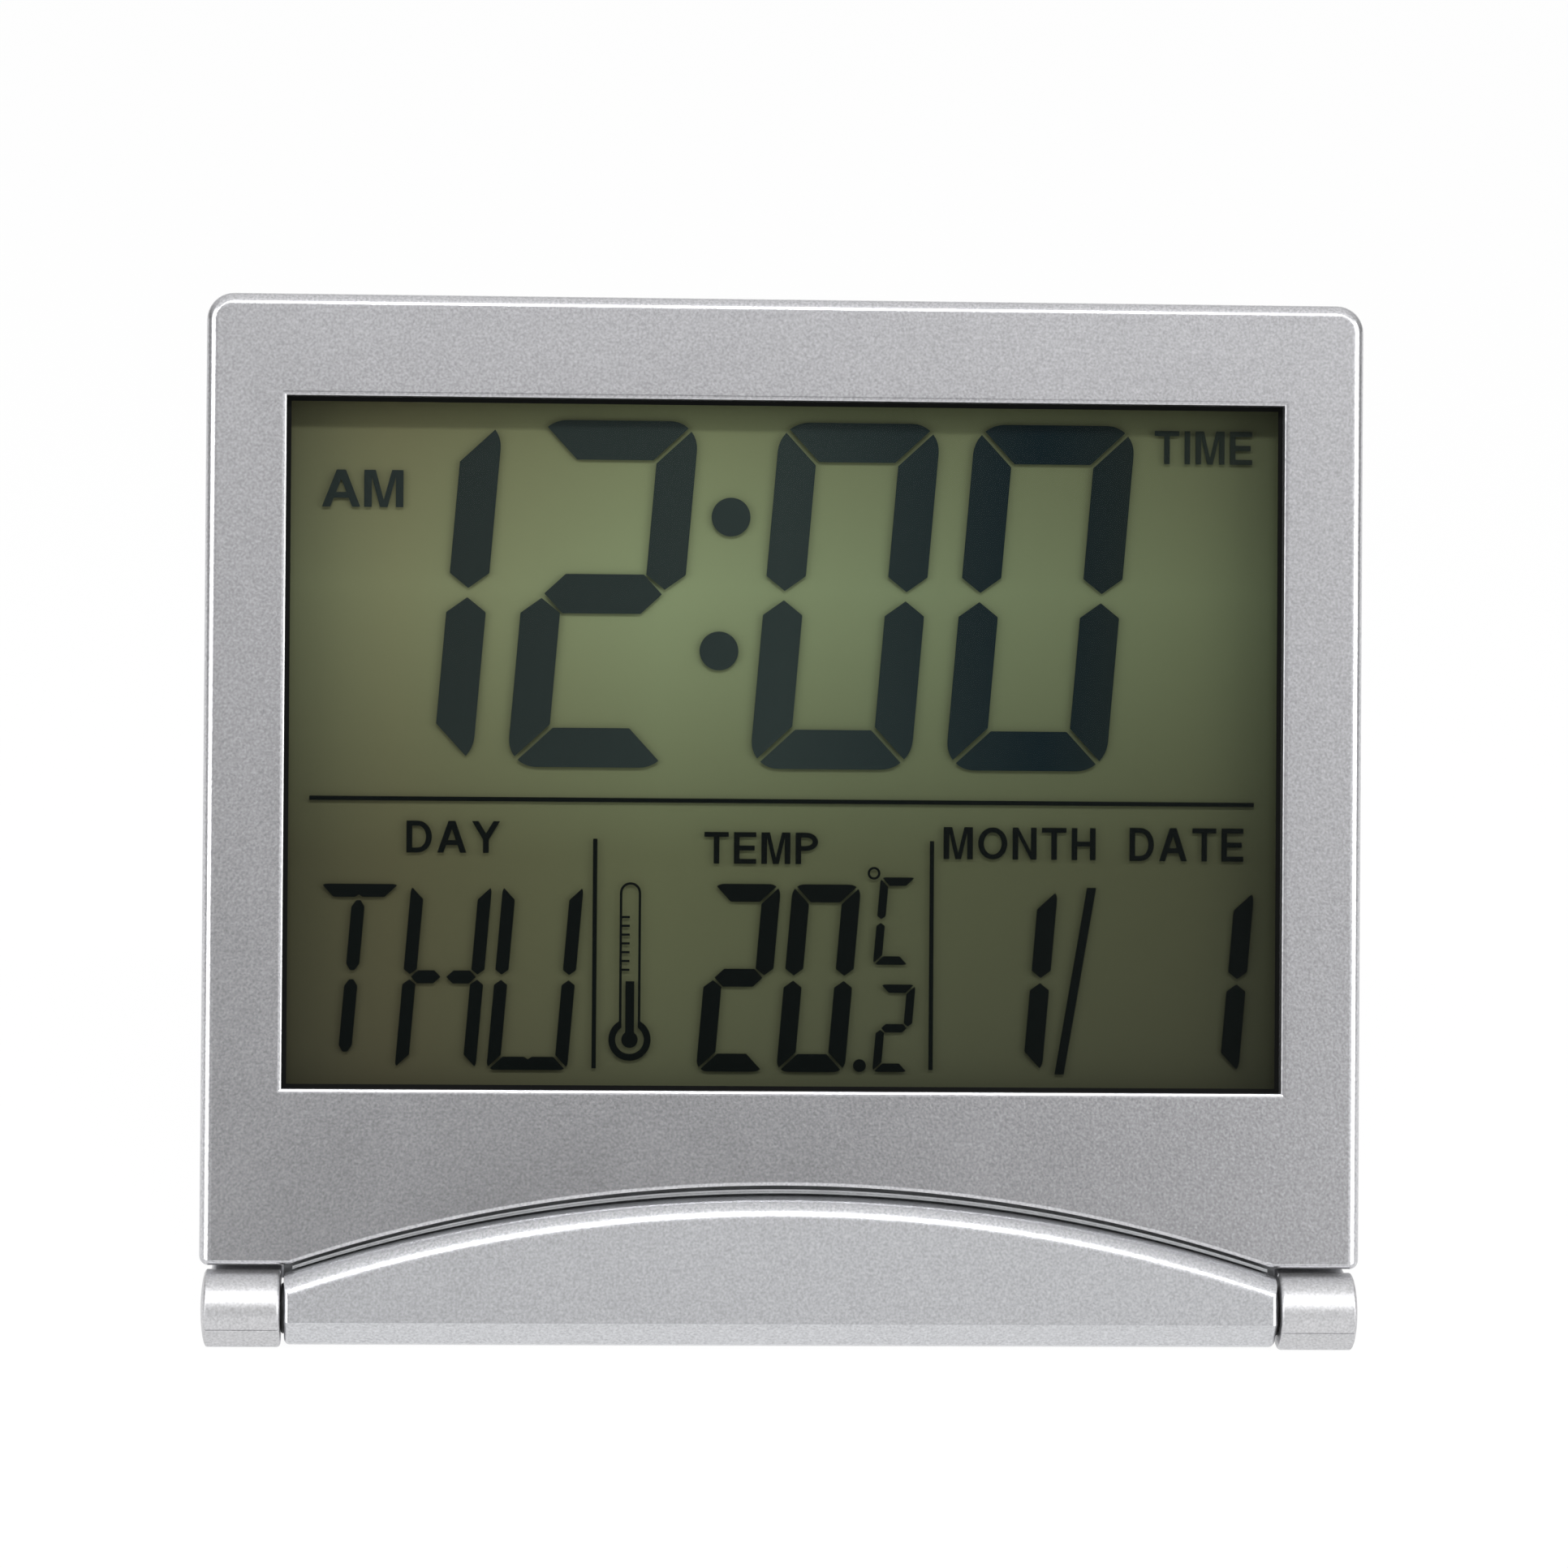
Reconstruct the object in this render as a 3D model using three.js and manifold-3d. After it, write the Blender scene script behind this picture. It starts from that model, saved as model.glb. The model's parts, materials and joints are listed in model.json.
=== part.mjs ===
// Folding LCD alarm clock. Its flip cover swings down and round behind the case, where it lies on the
// table as the stand. Millimetres, +Z up, the display faces -Y, and the clock is shown open on its stand.
import * as THREE from "three";
import { mergeVertices } from "three/addons/utils/BufferGeometryUtils.js";
import Module from "manifold-3d";

const wasm = await Module();
wasm.setup();
const radians = THREE.MathUtils.degToRad;

// Clearances: between seated faces, between moving pieces, round a pin, and of a cutter past a face
const SEAT = 0.1;
const RUNNING = 0.3;
const PIN_FIT = 0.06;
const OVERCUT = 0.015;

// Case front
const WINDOW_WIDTH = 77.6;
const WINDOW_HEIGHT = 53.6;
const SIDE_BORDER = 6.2;
const TOP_BORDER = 7.9;
const CHIN_HEIGHT = 13.8;
const FACE_PLATE = 1.6;
const BEZEL_DEPTH = 3.3;
const CASE_WALL = 1.6;
const CORNER_RADIUS = 2.3;
const FACE_EDGE_RADIUS = 0.7;
const FOOT_CORNER_EASE = 0.1;
const REAR_EDGE_RADIUS = 1.5;
const OPENING_EDGE_RADIUS = 0.3;
const LIP_THICKNESS = 0.8;
const LIP_REACH = 1.2;

// Hinge, cover and stand
const LEAN = radians(15);
const BARREL_RADIUS = 3;
const BARREL_LENGTH = 6.15;
const BARREL_DOME = 0.5;
const BARREL_END_INSET = 0.15;
const BARREL_FACET_HEIGHT = 1.3;
const HINGE_SIDE_GAP = 0.35;
const HINGE_TOP_GAP = 0.15;
const PIN_RADIUS = 0.8;
const PIN_ENGAGEMENT = 3.6;
const COVER_THICKNESS = 1.5;
const COVER_EDGE_RADIUS = 0.45;
const COVER_SIDE_INSET = 0.9;
const STAND_FLAT_DEPTH = 0.12;
const STAND_STRIP = 4;

// Arched hinge block
const ARCH_RISE = 5.93;
const ARCH_REVEAL = 0.9;
const BLOCK_FILLET = 1.8;
const BLOCK_END_RADIUS = 0.4;
const BLOCK_FACET_HEIGHT = 1.9;
const BLOCK_FACET_END = radians(245);
const BLOCK_WALL = 1.8;
const BLOCK_LIFT = 0.2;
const BLOCK_BACK = 1.9;
const FLANGE_HEIGHT = 2.6;
const TAB_X = 22;
const TAB_WIDTH = 8;
const POCKETS = 4;
const POCKET_WIDTH = 10.5;
const POCKET_RIB = 1.4;
const POCKET_STEPS = 6;

// Display stack
const LENS_THICKNESS = 0.8;
const POLARISER_THICKNESS = 0.2;
const GLASS_THICKNESS = 0.7;
const REFLECTOR_THICKNESS = 0.2;
const DISPLAY_OVERLAP = 1.5;
const CONTACT_LEDGE = 2.4;
const TRAY_FLOOR = 1;
const TRAY_WALL = 1;
const ZEBRA_WIDTH = 1.8;
const ZEBRA_LENGTH = 62;

// Board and what is on it
const BOARD_THICKNESS = 1;
const BOARD_MARGIN = 2.4;
const BOARD_SCREW_INSET = 4;
const BLOB_RADIUS = 5.5;
const BLOB_HEIGHT = 1.3;
const CRYSTAL_RADIUS = 1;
const CRYSTAL_LENGTH = 6;
const BEAD_RADIUS = 1.2;
const LEG_RADIUS = 0.25;
const LEG_PITCH = 1.4;

// Keys
const KEY_NAMES = ["mode", "set", "up", "down"];
const KEY_PITCH = 18;
const KEY_DROP = 14;
const KEY_WIDTH = 8.4;
const KEY_HEIGHT = 5.2;
const KEY_PROUD = 0.9;
const KEY_EDGE_RADIUS = 0.4;
const KEY_FLANGE = 0.8;
const KEY_FLANGE_RIM = 0.9;
const KEY_STEM_LENGTH = 0.6;
const KEY_STEM_RADIUS = 1.6;
const DOME_RADIUS = 3.1;
const DOME_TOP_RADIUS = 1.9;
const DOME_WALL = 0.5;

// Heights on a dome as parts of its rise: its straight skirt, its shoulder and its thick crown
const DOME_SKIRT = 0.25;
const DOME_SHOULDER = 0.75;
const DOME_CROWN = 0.4;

// Coin cell, its well and its door
const CELL_RADIUS = 10;
const CELL_THICKNESS = 2.5;
const CELL_GAP = 0.3;
const WELL_FLOOR = 0.6;
const WELL_WALL = 1.2;
const CONTACT_STRIP = 0.25;
const CONTACT_WIDTH = 3;
const CONTACT_SPACING = 8;
const CONTACT_LAP = 3;
const DOOR_DISC = 1.2;
const DOOR_RIM = 1.9;
const DOOR_TURN = radians(45);
const PLUG_WALL = 1.5;
const LEDGE_THICKNESS = 1;
const LUG_THICKNESS = 0.9;
const LUG_REACH = 1.7;
const LUG_HALF_ANGLE = radians(17);
const NOTCH_HALF_ANGLE = radians(20);
const COIN_SLOT_LENGTH = 14;
const COIN_SLOT_WIDTH = 1.8;
const COIN_SLOT_DEPTH = 0.7;
const WELL_X = 19;
const WELL_RISE = 2.5;

// Buzzer, its leads and the openings behind it
const PIEZO_RADIUS = 10;
const PIEZO_THICKNESS = 0.3;
const CERAMIC_RADIUS = 7;
const CERAMIC_THICKNESS = 0.25;
const SOUND_RING_HEIGHT = 1;
const SOUND_RING_WALL = 1.1;
const SOUND_HOLES = 6;
const SOUND_HOLE_RADIUS = 0.8;
const SOUND_HOLE_PITCH = 3.2;
const LEAD_RADIUS = 0.45;
const LEAD_LAP = 4;
const LEAD_SPACING = 5.3;
const LEAD_STEPS = 14;
const VENT_COUNT = 4;
const VENT_LENGTH = 6;
const VENT_WIDTH = 0.9;
const VENT_PITCH = 2;
const VENT_X = 35;

// Screws: shank radius, head radius and head height of each size. The cross is a part of the head's
// radius, the rim a part of its height and the top a part of its radius.
const CASE_SCREW = { shank: 1, head: 1.8, height: 1.3 };
const SMALL_SCREW = { shank: 0.75, head: 1.6, height: 0.9 };
const BLOCK_SCREW = { shank: 0.75, head: 2.3, height: 0.9 };
const SCREW_RECESS = 0.5;
const SCREW_BLADE = 0.36;
const SCREW_CROSS = 0.62;
const HEAD_RIM = 0.55;
const HEAD_TOP = 0.72;
const HEAD_SINK = 1.8;
const BOSS_WALL = 0.9;
const TRAY_EAR_X = 31;
const TRAY_EAR_THICKNESS = 1.2;

// Facets of arcs and rounds
const ARCH_STEPS = 30;
const ROUND_STEPS = 3;
const CORNER_STEPS = 2;
const PROFILE_STEPS = 8;
const DOMED_STEPS = 6;
const BARREL_SIDES = 36;
const DISC_SIDES = 32;
const BLOB_SIDES = 20;
const ROD_SIDES = 16;
const SMALL_SIDES = 12;
const LEG_SIDES = 8;

// How much of a half width an end round takes, and a size beyond the whole clock for cutters
const FULL_ROUND = 0.98;
const BIG = 400;

// Depths, from the face back to the rear wall. The cover's outer face is tangent to the barrels.
const faceY = COVER_THICKNESS + RUNNING - BARREL_RADIUS;
const plateBack = faceY + FACE_PLATE;
const bezelBack = faceY + BEZEL_DEPTH;
const lensFront = plateBack + SEAT;
const polariserFront = lensFront + LENS_THICKNESS + SEAT;
const frontGlassFront = polariserFront + POLARISER_THICKNESS + SEAT;
const frontGlassBack = frontGlassFront + GLASS_THICKNESS;
const rearGlassFront = frontGlassBack + SEAT;
const reflectorFront = rearGlassFront + GLASS_THICKNESS + SEAT;
const trayFloorFront = reflectorFront + REFLECTOR_THICKNESS + SEAT;
const trayBack = trayFloorFront + TRAY_FLOOR;
const wellFloorFront = trayBack + SEAT;
const wellFloorBack = wellFloorFront + WELL_FLOOR;
const stripFront = wellFloorBack + SEAT;
const boardFront = stripFront + CONTACT_STRIP + SEAT;
const boardBack = boardFront + BOARD_THICKNESS;
const cellFront = boardFront;
const cellBack = cellFront + CELL_THICKNESS;
const plugFront = cellBack + SEAT;
const lugBack = plugFront + LUG_THICKNESS;
const ledgeFront = lugBack + SEAT;
const ledgeBack = ledgeFront + LEDGE_THICKNESS;
const discFront = ledgeBack + SEAT;
const rearY = discFront + DOOR_DISC;
const innerWall = rearY - CASE_WALL;

// Heights above the hinge axis and widths from the middle
const halfWidth = WINDOW_WIDTH / 2 + SIDE_BORDER;
const caseBottom = BARREL_RADIUS + HINGE_TOP_GAP;
const windowBottom = caseBottom + CHIN_HEIGHT;
const windowTop = windowBottom + WINDOW_HEIGHT;
const caseTop = windowTop + TOP_BORDER;
const barrelOuter = halfWidth - BARREL_END_INSET;
const barrelInner = barrelOuter - BARREL_LENGTH;
const blockHalf = barrelInner - HINGE_SIDE_GAP;
const blockCrown = BARREL_RADIUS + ARCH_RISE;

// The stand: the open cover slopes down to the table, and the case's underside rests along it
const standHeight = BARREL_RADIUS - STAND_FLAT_DEPTH;
const coverInner = BARREL_RADIUS - COVER_THICKNESS;
const stripStart = caseTop - STAND_STRIP;
const coverSlope =
  Math.atan2(coverInner, stripStart) + Math.asin(standHeight / Math.hypot(stripStart, coverInner));
const undersideSlope = LEAN - coverSlope;
const openAngle = 1.5 * Math.PI + undersideSlope;
const undersideAt = (y) => caseBottom + (y - faceY) * Math.tan(undersideSlope);

// The two arches: the block's crown, and the edge that bezel and cover share round it
const blockArch = arch(blockHalf, BARREL_RADIUS, ARCH_RISE);
const edgeArch = arch(barrelInner, caseBottom, blockCrown + ARCH_REVEAL - caseBottom);

// Places that several pieces share
const displayHalf = WINDOW_WIDTH / 2 + DISPLAY_OVERLAP;
const displayBottom = windowBottom - DISPLAY_OVERLAP;
const cellGlassTop = windowTop + DISPLAY_OVERLAP;
const displayTop = cellGlassTop + CONTACT_LEDGE;
const trayHalf = displayHalf + SEAT + TRAY_WALL;
const trayBottom = displayBottom - SEAT - TRAY_WALL;
const trayTop = displayTop + SEAT + TRAY_WALL;
const zebraZ = cellGlassTop + CONTACT_LEDGE / 2;
const wellBore = CELL_RADIUS + CELL_GAP;
const plugRadius = wellBore - SEAT;
const lugRadius = plugRadius + LUG_REACH;
const lugRoom = lugRadius + RUNNING;
const doorRadius = plugRadius + DOOR_RIM;
const doorRecess = doorRadius + 2 * SEAT;
const wellRadius = Math.max(lugRoom, doorRecess) + WELL_WALL;
const wellZ = undersideAt(rearY) + CASE_WALL + WELL_RISE + wellRadius;
const boardHalf = trayHalf - BOARD_MARGIN;
const boardBottom = wellZ + wellRadius + BOARD_MARGIN / 2;
const boardTop = trayTop - SEAT;
const keyZ = boardTop - KEY_DROP;
const flangeFront = innerWall - SEAT - KEY_FLANGE;
const stemFront = flangeFront - KEY_STEM_LENGTH;
const soundRingFront = innerWall - SOUND_RING_HEIGHT;
const piezoFront = soundRingFront - SEAT - PIEZO_THICKNESS;
const ceramicFront = piezoFront - SEAT - CERAMIC_THICKNESS;
const screwBore = CASE_SCREW.head + 2 * SEAT;
const caseBossX = halfWidth - CASE_WALL - screwBore - BOSS_WALL + 2 * SEAT;
const caseBossZ = undersideAt(rearY) + CASE_WALL + screwBore;
const bossSplit = bezelBack + BEZEL_DEPTH;
const headSeat = rearY - HEAD_SINK - CASE_SCREW.height;
const tabBossRadius = BLOCK_SCREW.shank + PIN_FIT + BOSS_WALL;
const tabZ = edgeArch.at(TAB_X) + OPENING_EDGE_RADIUS + tabBossRadius + SEAT;
const earRadius = SMALL_SCREW.head + BOSS_WALL;
const earZ = trayBottom - SMALL_SCREW.head;
const earFront = trayBack - TRAY_EAR_THICKNESS;
const boardScrews = [
  [-boardHalf + BOARD_SCREW_INSET, boardBottom + BOARD_SCREW_INSET],
  [boardHalf - BOARD_SCREW_INSET, boardBottom + BOARD_SCREW_INSET],
  [-boardHalf + BOARD_SCREW_INSET, boardTop - 2 * BOARD_SCREW_INSET],
  [boardHalf - BOARD_SCREW_INSET, boardTop - 2 * BOARD_SCREW_INSET],
];

// Materials
function paint(color, roughness, metalness) {
  return new THREE.MeshStandardMaterial({ color, roughness, metalness });
}

function pane(color, roughness, opacity) {
  return new THREE.MeshStandardMaterial({ color, roughness, opacity, transparent: true });
}

const silver = paint(0xb0b1b4, 0.42, 0.75);
const silverBlock = paint(0xb5b7ba, 0.4, 0.75);
const clear = pane(0xf2f6f6, 0.08, 0.25);
const cellGlass = pane(0xd8e2d4, 0.1, 0.3);
const film = pane(0xa7ad98, 0.35, 0.4);
const reflectorGreen = paint(0x76815f, 0.6, 0.1);
const blackPlastic = paint(0x1b1c1d, 0.6, 0);
const blackRubber = paint(0x222224, 0.85, 0);
const boardGreen = paint(0x2f6b3c, 0.55, 0);
const steel = paint(0xb9bcc0, 0.3, 1);
const brass = paint(0xc7a552, 0.35, 1);
const ceramic = paint(0xe6e2d6, 0.5, 0);
const redSleeve = paint(0xa6231f, 0.55, 0);
const blackSleeve = paint(0x202020, 0.55, 0);

// An arch is a circle through its two feet and its crown, drawn in the X-Z plane
function arch(half, foot, rise) {
  const radius = (half * half + rise * rise) / (2 * rise);
  const centre = foot + rise - radius;
  const at = (x, offset = 0) => centre + Math.sqrt((radius + offset) ** 2 - x * x);
  return { half, at };
}

// Points along an arch from x0 to x1
function archPoints(curve, x0, x1, offset = 0, steps = ARCH_STEPS) {
  const points = [];
  for (let i = 0; i <= steps; i++) {
    const x = x0 + ((x1 - x0) * i) / steps;
    points.push(new THREE.Vector2(x, curve.at(x, offset)));
  }
  return points;
}

// A rectangle whose lower and upper corners can be rounded
function roundedRect(x0, z0, x1, z1, lower = 0, upper = lower) {
  const shape = new THREE.Shape();
  const corner = (x, z, radius, start) => {
    if (radius > 0) shape.absarc(x, z, radius, start, start + Math.PI / 2);
    else shape.lineTo(x, z);
  };
  shape.moveTo(x0 + lower, z0);
  corner(x1 - lower, z0 + lower, lower, -Math.PI / 2);
  corner(x1 - upper, z1 - upper, upper, 0);
  corner(x0 + upper, z1 - upper, upper, Math.PI / 2);
  corner(x0 + lower, z0 + lower, lower, Math.PI);
  return shape;
}

// Turns a closed geometry into a solid that can be joined and cut
function solid(geometry) {
  geometry.deleteAttribute("normal");
  geometry.deleteAttribute("uv");
  const merged = mergeVertices(geometry, 1e-5);
  const corners = merged.index.array;
  const triangles = [];
  for (let i = 0; i < corners.length; i += 3) {
    const [a, b, c] = [corners[i], corners[i + 1], corners[i + 2]];
    if (a !== b && b !== c && c !== a) triangles.push(a, b, c);
  }
  return new wasm.Manifold(
    new wasm.Mesh({
      numProp: 3,
      vertProperties: new Float32Array(merged.attributes.position.array),
      triVerts: new Uint32Array(triangles),
    }),
  );
}

// Extrusion options whose end edges are rounded, or flared outward for a cutter
function ends(length, round, flare, curveSegments = CORNER_STEPS) {
  return {
    depth: length - 2 * round,
    bevelEnabled: round > 0,
    bevelThickness: round,
    bevelSize: flare ? -round : round,
    bevelOffset: flare ? round : -round,
    bevelSegments: ROUND_STEPS,
    curveSegments,
  };
}

// An X-Z outline extruded along Y
function prism(outline, y0, y1, round = 0, flare = false) {
  const geometry = new THREE.ExtrudeGeometry(outline, ends(y1 - y0, round, flare));
  geometry.rotateX(Math.PI / 2);
  geometry.translate(0, y1 - round, 0);
  return solid(geometry);
}

// A Y-Z profile extruded along X
function bar(profile, x0, x1, round = 0) {
  const geometry = new THREE.ExtrudeGeometry(profile, ends(x1 - x0, round, false, PROFILE_STEPS));
  geometry.applyMatrix4(new THREE.Matrix4().set(0, 0, 1, 0, 1, 0, 0, 0, 0, 1, 0, 0, 0, 0, 0, 1));
  geometry.translate(x0 + round, 0, 0);
  return solid(geometry);
}

// A box given by its limits
function box(x0, x1, y0, y1, z0, z1) {
  const geometry = new THREE.BoxGeometry(x1 - x0, y1 - y0, z1 - z0);
  geometry.translate((x0 + x1) / 2, (y0 + y1) / 2, (z0 + z1) / 2);
  return solid(geometry);
}

// A round rod along Y, and a bore whose flats clear a rod of the same radius
function rod(x, z, y0, y1, radius, sides = ROD_SIDES) {
  const geometry = new THREE.CylinderGeometry(radius, radius, y1 - y0, sides);
  geometry.translate(x, (y0 + y1) / 2, z);
  return solid(geometry);
}

function bore(x, z, y0, y1, radius, sides = ROD_SIDES) {
  return rod(x, z, y0, y1, radius / Math.cos(Math.PI / sides), sides);
}

// A profile of [radius, y] pairs revolved about a line along Y through (x, z)
function revolve(profile, x = 0, z = 0, sides = DISC_SIDES) {
  const points = profile.map(([radius, y]) => new THREE.Vector2(radius, y));
  const geometry = new THREE.LatheGeometry(points, sides);
  geometry.translate(x, 0, z);
  return solid(geometry);
}

// A ring sector about (x, z), centred on an angle in the X-Z plane
function sector(x, z, inner, outer, angle, halfAngle, y0, y1) {
  const shape = new THREE.Shape();
  shape.absarc(x, z, outer, angle - halfAngle, angle + halfAngle, false);
  shape.absarc(x, z, inner, angle + halfAngle, angle - halfAngle, true);
  return prism(shape, y0, y1);
}

// A solid as a named mesh with its own material
function mesh(name, body, material) {
  const { vertProperties, triVerts } = body.getMesh();
  const geometry = new THREE.BufferGeometry();
  geometry.setAttribute("position", new THREE.BufferAttribute(new Float32Array(vertProperties), 3));
  geometry.setIndex(new THREE.BufferAttribute(new Uint32Array(triVerts), 1));
  geometry.computeVertexNormals();
  const part = new THREE.Mesh(geometry, material);
  part.name = name;
  return part;
}

// The case's outline, drawn in from its outer walls by an inset
function caseOutline(inset, bottom, lower = 0) {
  const upper = Math.max(CORNER_RADIUS - inset, 0);
  return roundedRect(-halfWidth + inset, bottom, halfWidth - inset, caseTop - inset, lower, upper);
}

// Everything under the case's sloping underside, which is raised by a wall where one is given
function underside(raise = 0) {
  const geometry = new THREE.BoxGeometry(BIG, BIG, BIG);
  geometry.translate(0, 0, -BIG / 2);
  geometry.rotateX(undersideSlope);
  geometry.translate(0, faceY, caseBottom + raise);
  return solid(geometry);
}

// The outline under an arch, down past the bottom of the case
function underArch(curve, half, offset = 0) {
  const points = archPoints(curve, -half, half, offset);
  points.push(new THREE.Vector2(half, -BIG / 10), new THREE.Vector2(-half, -BIG / 10));
  return new THREE.Shape(points);
}

// Pan-head screw along Y with a cross recess, its head at the rear of seatY
function screw(x, z, seatY, tipY, size) {
  const top = seatY + size.height;
  const reach = size.head * SCREW_CROSS;
  const half = SCREW_BLADE / 2;
  const floor = top - SCREW_RECESS;
  const blade = box(-reach, reach, floor, BIG, -half, half);
  const cross = blade.add(box(-half, half, floor, BIG, -reach, reach));
  const profile = [
    [0, tipY],
    [size.shank, tipY + size.shank],
    [size.shank, seatY],
    [size.head, seatY],
    [size.head, seatY + size.height * HEAD_RIM],
    [size.head * HEAD_TOP, top],
    [0, top],
  ];
  return revolve(profile, 0, 0, SMALL_SIDES).subtract(cross).translate([x, 0, z]);
}

// A cutter through the face plate that leaves its front edge rounded
function opening(outline) {
  return prism(outline, faceY - OVERCUT, plateBack + BEZEL_DEPTH, OPENING_EDGE_RADIUS, true);
}

// Front shell: face plate with window and arched lower edge, side walls and bosses
function frontBezel() {
  const cheekTop = undersideAt(bezelBack) + CASE_WALL;
  const cheek = box(barrelInner, BIG, -BIG, BIG, -BIG, cheekTop);
  const cavity = prism(caseOutline(CASE_WALL, -BIG / 10), plateBack, BIG)
    .subtract(cheek)
    .subtract(cheek.mirror([1, 0, 0]));
  const window = roundedRect(-WINDOW_WIDTH / 2, windowBottom, WINDOW_WIDTH / 2, windowTop);
  const outline = caseOutline(0, caseBottom, FACE_EDGE_RADIUS + FOOT_CORNER_EASE);
  let body = prism(outline, faceY, bezelBack + 2 * FACE_EDGE_RADIUS, FACE_EDGE_RADIUS)
    .subtract(box(-BIG, BIG, bezelBack, BIG, -BIG, BIG))
    .subtract(cavity)
    .subtract(opening(window))
    .subtract(opening(underArch(edgeArch, edgeArch.half)))
    .subtract(underside());
  const boss = (x, z, end, radius, shank) => {
    body = body
      .add(rod(x, z, plateBack - SEAT, end, radius))
      .subtract(bore(x, z, plateBack, BIG, shank + PIN_FIT));
  };
  for (const side of [-1, 1]) {
    boss(side * caseBossX, caseBossZ, bossSplit, CASE_SCREW.shank + PIN_FIT + BOSS_WALL, CASE_SCREW.shank);
    boss(side * TAB_X, tabZ, BLOCK_BACK - SEAT, tabBossRadius, BLOCK_SCREW.shank);
    boss(side * TRAY_EAR_X, earZ, earFront - SEAT, SMALL_SCREW.head, SMALL_SCREW.shank);
  }
  return body;
}

// Cross-section of the hinge block: flat front, lower facet, then a round bar about the hinge axis
function blockProfile() {
  const radius = BARREL_RADIUS - BLOCK_LIFT;
  const profile = new THREE.Shape();
  profile.moveTo(-BARREL_RADIUS, BLOCK_FACET_HEIGHT - radius);
  profile.lineTo(radius * Math.cos(BLOCK_FACET_END), radius * Math.sin(BLOCK_FACET_END));
  profile.absarc(0, 0, radius, BLOCK_FACET_END, 2 * Math.PI + Math.acos(BLOCK_BACK / radius));
  profile.lineTo(BLOCK_BACK, BIG / 10);
  profile.lineTo(-BARREL_RADIUS, BIG / 10);
  return profile;
}

// Arched block in front of the bezel's lower edge: it closes the case and carries the hinge pins
function hingeBlock() {
  const overrun = blockHalf + 2 * BLOCK_FILLET;
  let body = prism(underArch(blockArch, overrun), -BARREL_RADIUS, BIG / 10, BLOCK_FILLET).intersect(
    bar(blockProfile(), -blockHalf, blockHalf, BLOCK_END_RADIUS),
  );
  const flangeHalf = blockHalf - BLOCK_FILLET;
  const flange = prism(underArch(blockArch, flangeHalf, FLANGE_HEIGHT), plateBack + SEAT, BLOCK_BACK);
  body = body.add(flange.subtract(box(-BIG, BIG, -BIG, BIG, -BIG, BARREL_RADIUS / 2)));
  const tabTop = tabZ + BLOCK_SCREW.head + SEAT;
  for (const side of [-1, 1]) {
    const x = side * TAB_X;
    const tab = roundedRect(x - TAB_WIDTH / 2, BARREL_RADIUS, x + TAB_WIDTH / 2, tabTop, 0, BOSS_WALL);
    body = body
      .add(prism(tab, plateBack + SEAT, BLOCK_BACK))
      .subtract(bore(x, tabZ, -BARREL_RADIUS / 2, BIG, tabBossRadius + SEAT));
  }
  const pitch = POCKET_WIDTH + POCKET_RIB;
  for (let i = 0; i < POCKETS; i++) {
    const left = (i - POCKETS / 2) * pitch + POCKET_RIB / 2;
    const points = archPoints(blockArch, left, left + POCKET_WIDTH, -BLOCK_WALL, POCKET_STEPS);
    points.push(new THREE.Vector2(left + POCKET_WIDTH, BLOCK_WALL), new THREE.Vector2(left, BLOCK_WALL));
    body = body.subtract(prism(new THREE.Shape(points), BLOCK_WALL - BARREL_RADIUS, BIG / 10));
  }
  const boreEnd = blockHalf - PIN_ENGAGEMENT;
  return body.subtract(pinBore(boreEnd, BIG)).subtract(pinBore(-BIG, -boreEnd));
}

// Hinge pins lie along X on the hinge axis
function pinRod(x0, x1, radius) {
  const geometry = new THREE.CylinderGeometry(radius, radius, x1 - x0, ROD_SIDES);
  geometry.rotateZ(-Math.PI / 2);
  geometry.translate((x0 + x1) / 2, 0, 0);
  return solid(geometry);
}

function pinBore(x0, x1) {
  return pinRod(x0, x1, (PIN_RADIUS + PIN_FIT) / Math.cos(Math.PI / ROD_SIDES));
}

function hingePin(side) {
  const inner = blockHalf - PIN_ENGAGEMENT + SEAT;
  const outer = barrelInner + PIN_ENGAGEMENT - SEAT;
  return side < 0 ? pinRod(-outer, -inner, PIN_RADIUS) : pinRod(inner, outer, PIN_RADIUS);
}

// One of the cover's barrels, with its domed outer end
function coverBarrel(side) {
  const dome = [];
  for (let i = 0; i <= DOMED_STEPS; i++) {
    const turn = (i / DOMED_STEPS) * (Math.PI / 2);
    dome.push([BARREL_RADIUS * Math.cos(turn), barrelOuter - BARREL_DOME * (1 - Math.sin(turn))]);
  }
  dome[dome.length - 1][0] = 0;
  const inner = [
    [0, barrelInner],
    [BARREL_RADIUS - SEAT, barrelInner],
    [BARREL_RADIUS, barrelInner + SEAT],
  ];
  const points = [...inner, ...dome].map(([radius, x]) => new THREE.Vector2(radius, x));
  const geometry = new THREE.LatheGeometry(points, BARREL_SIDES);
  geometry.rotateZ(-Math.PI / 2);
  const body = solid(geometry);
  return side < 0 ? body.mirror([1, 0, 0]) : body;
}

// A plane cutter past a distance from the hinge axis, its normal at an angle from +Y towards +Z
function beyond(distance, angle) {
  const geometry = new THREE.BoxGeometry(BIG, BIG, BIG);
  geometry.translate(0, distance + BIG / 2, 0);
  geometry.rotateX(angle);
  return solid(geometry);
}

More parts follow.
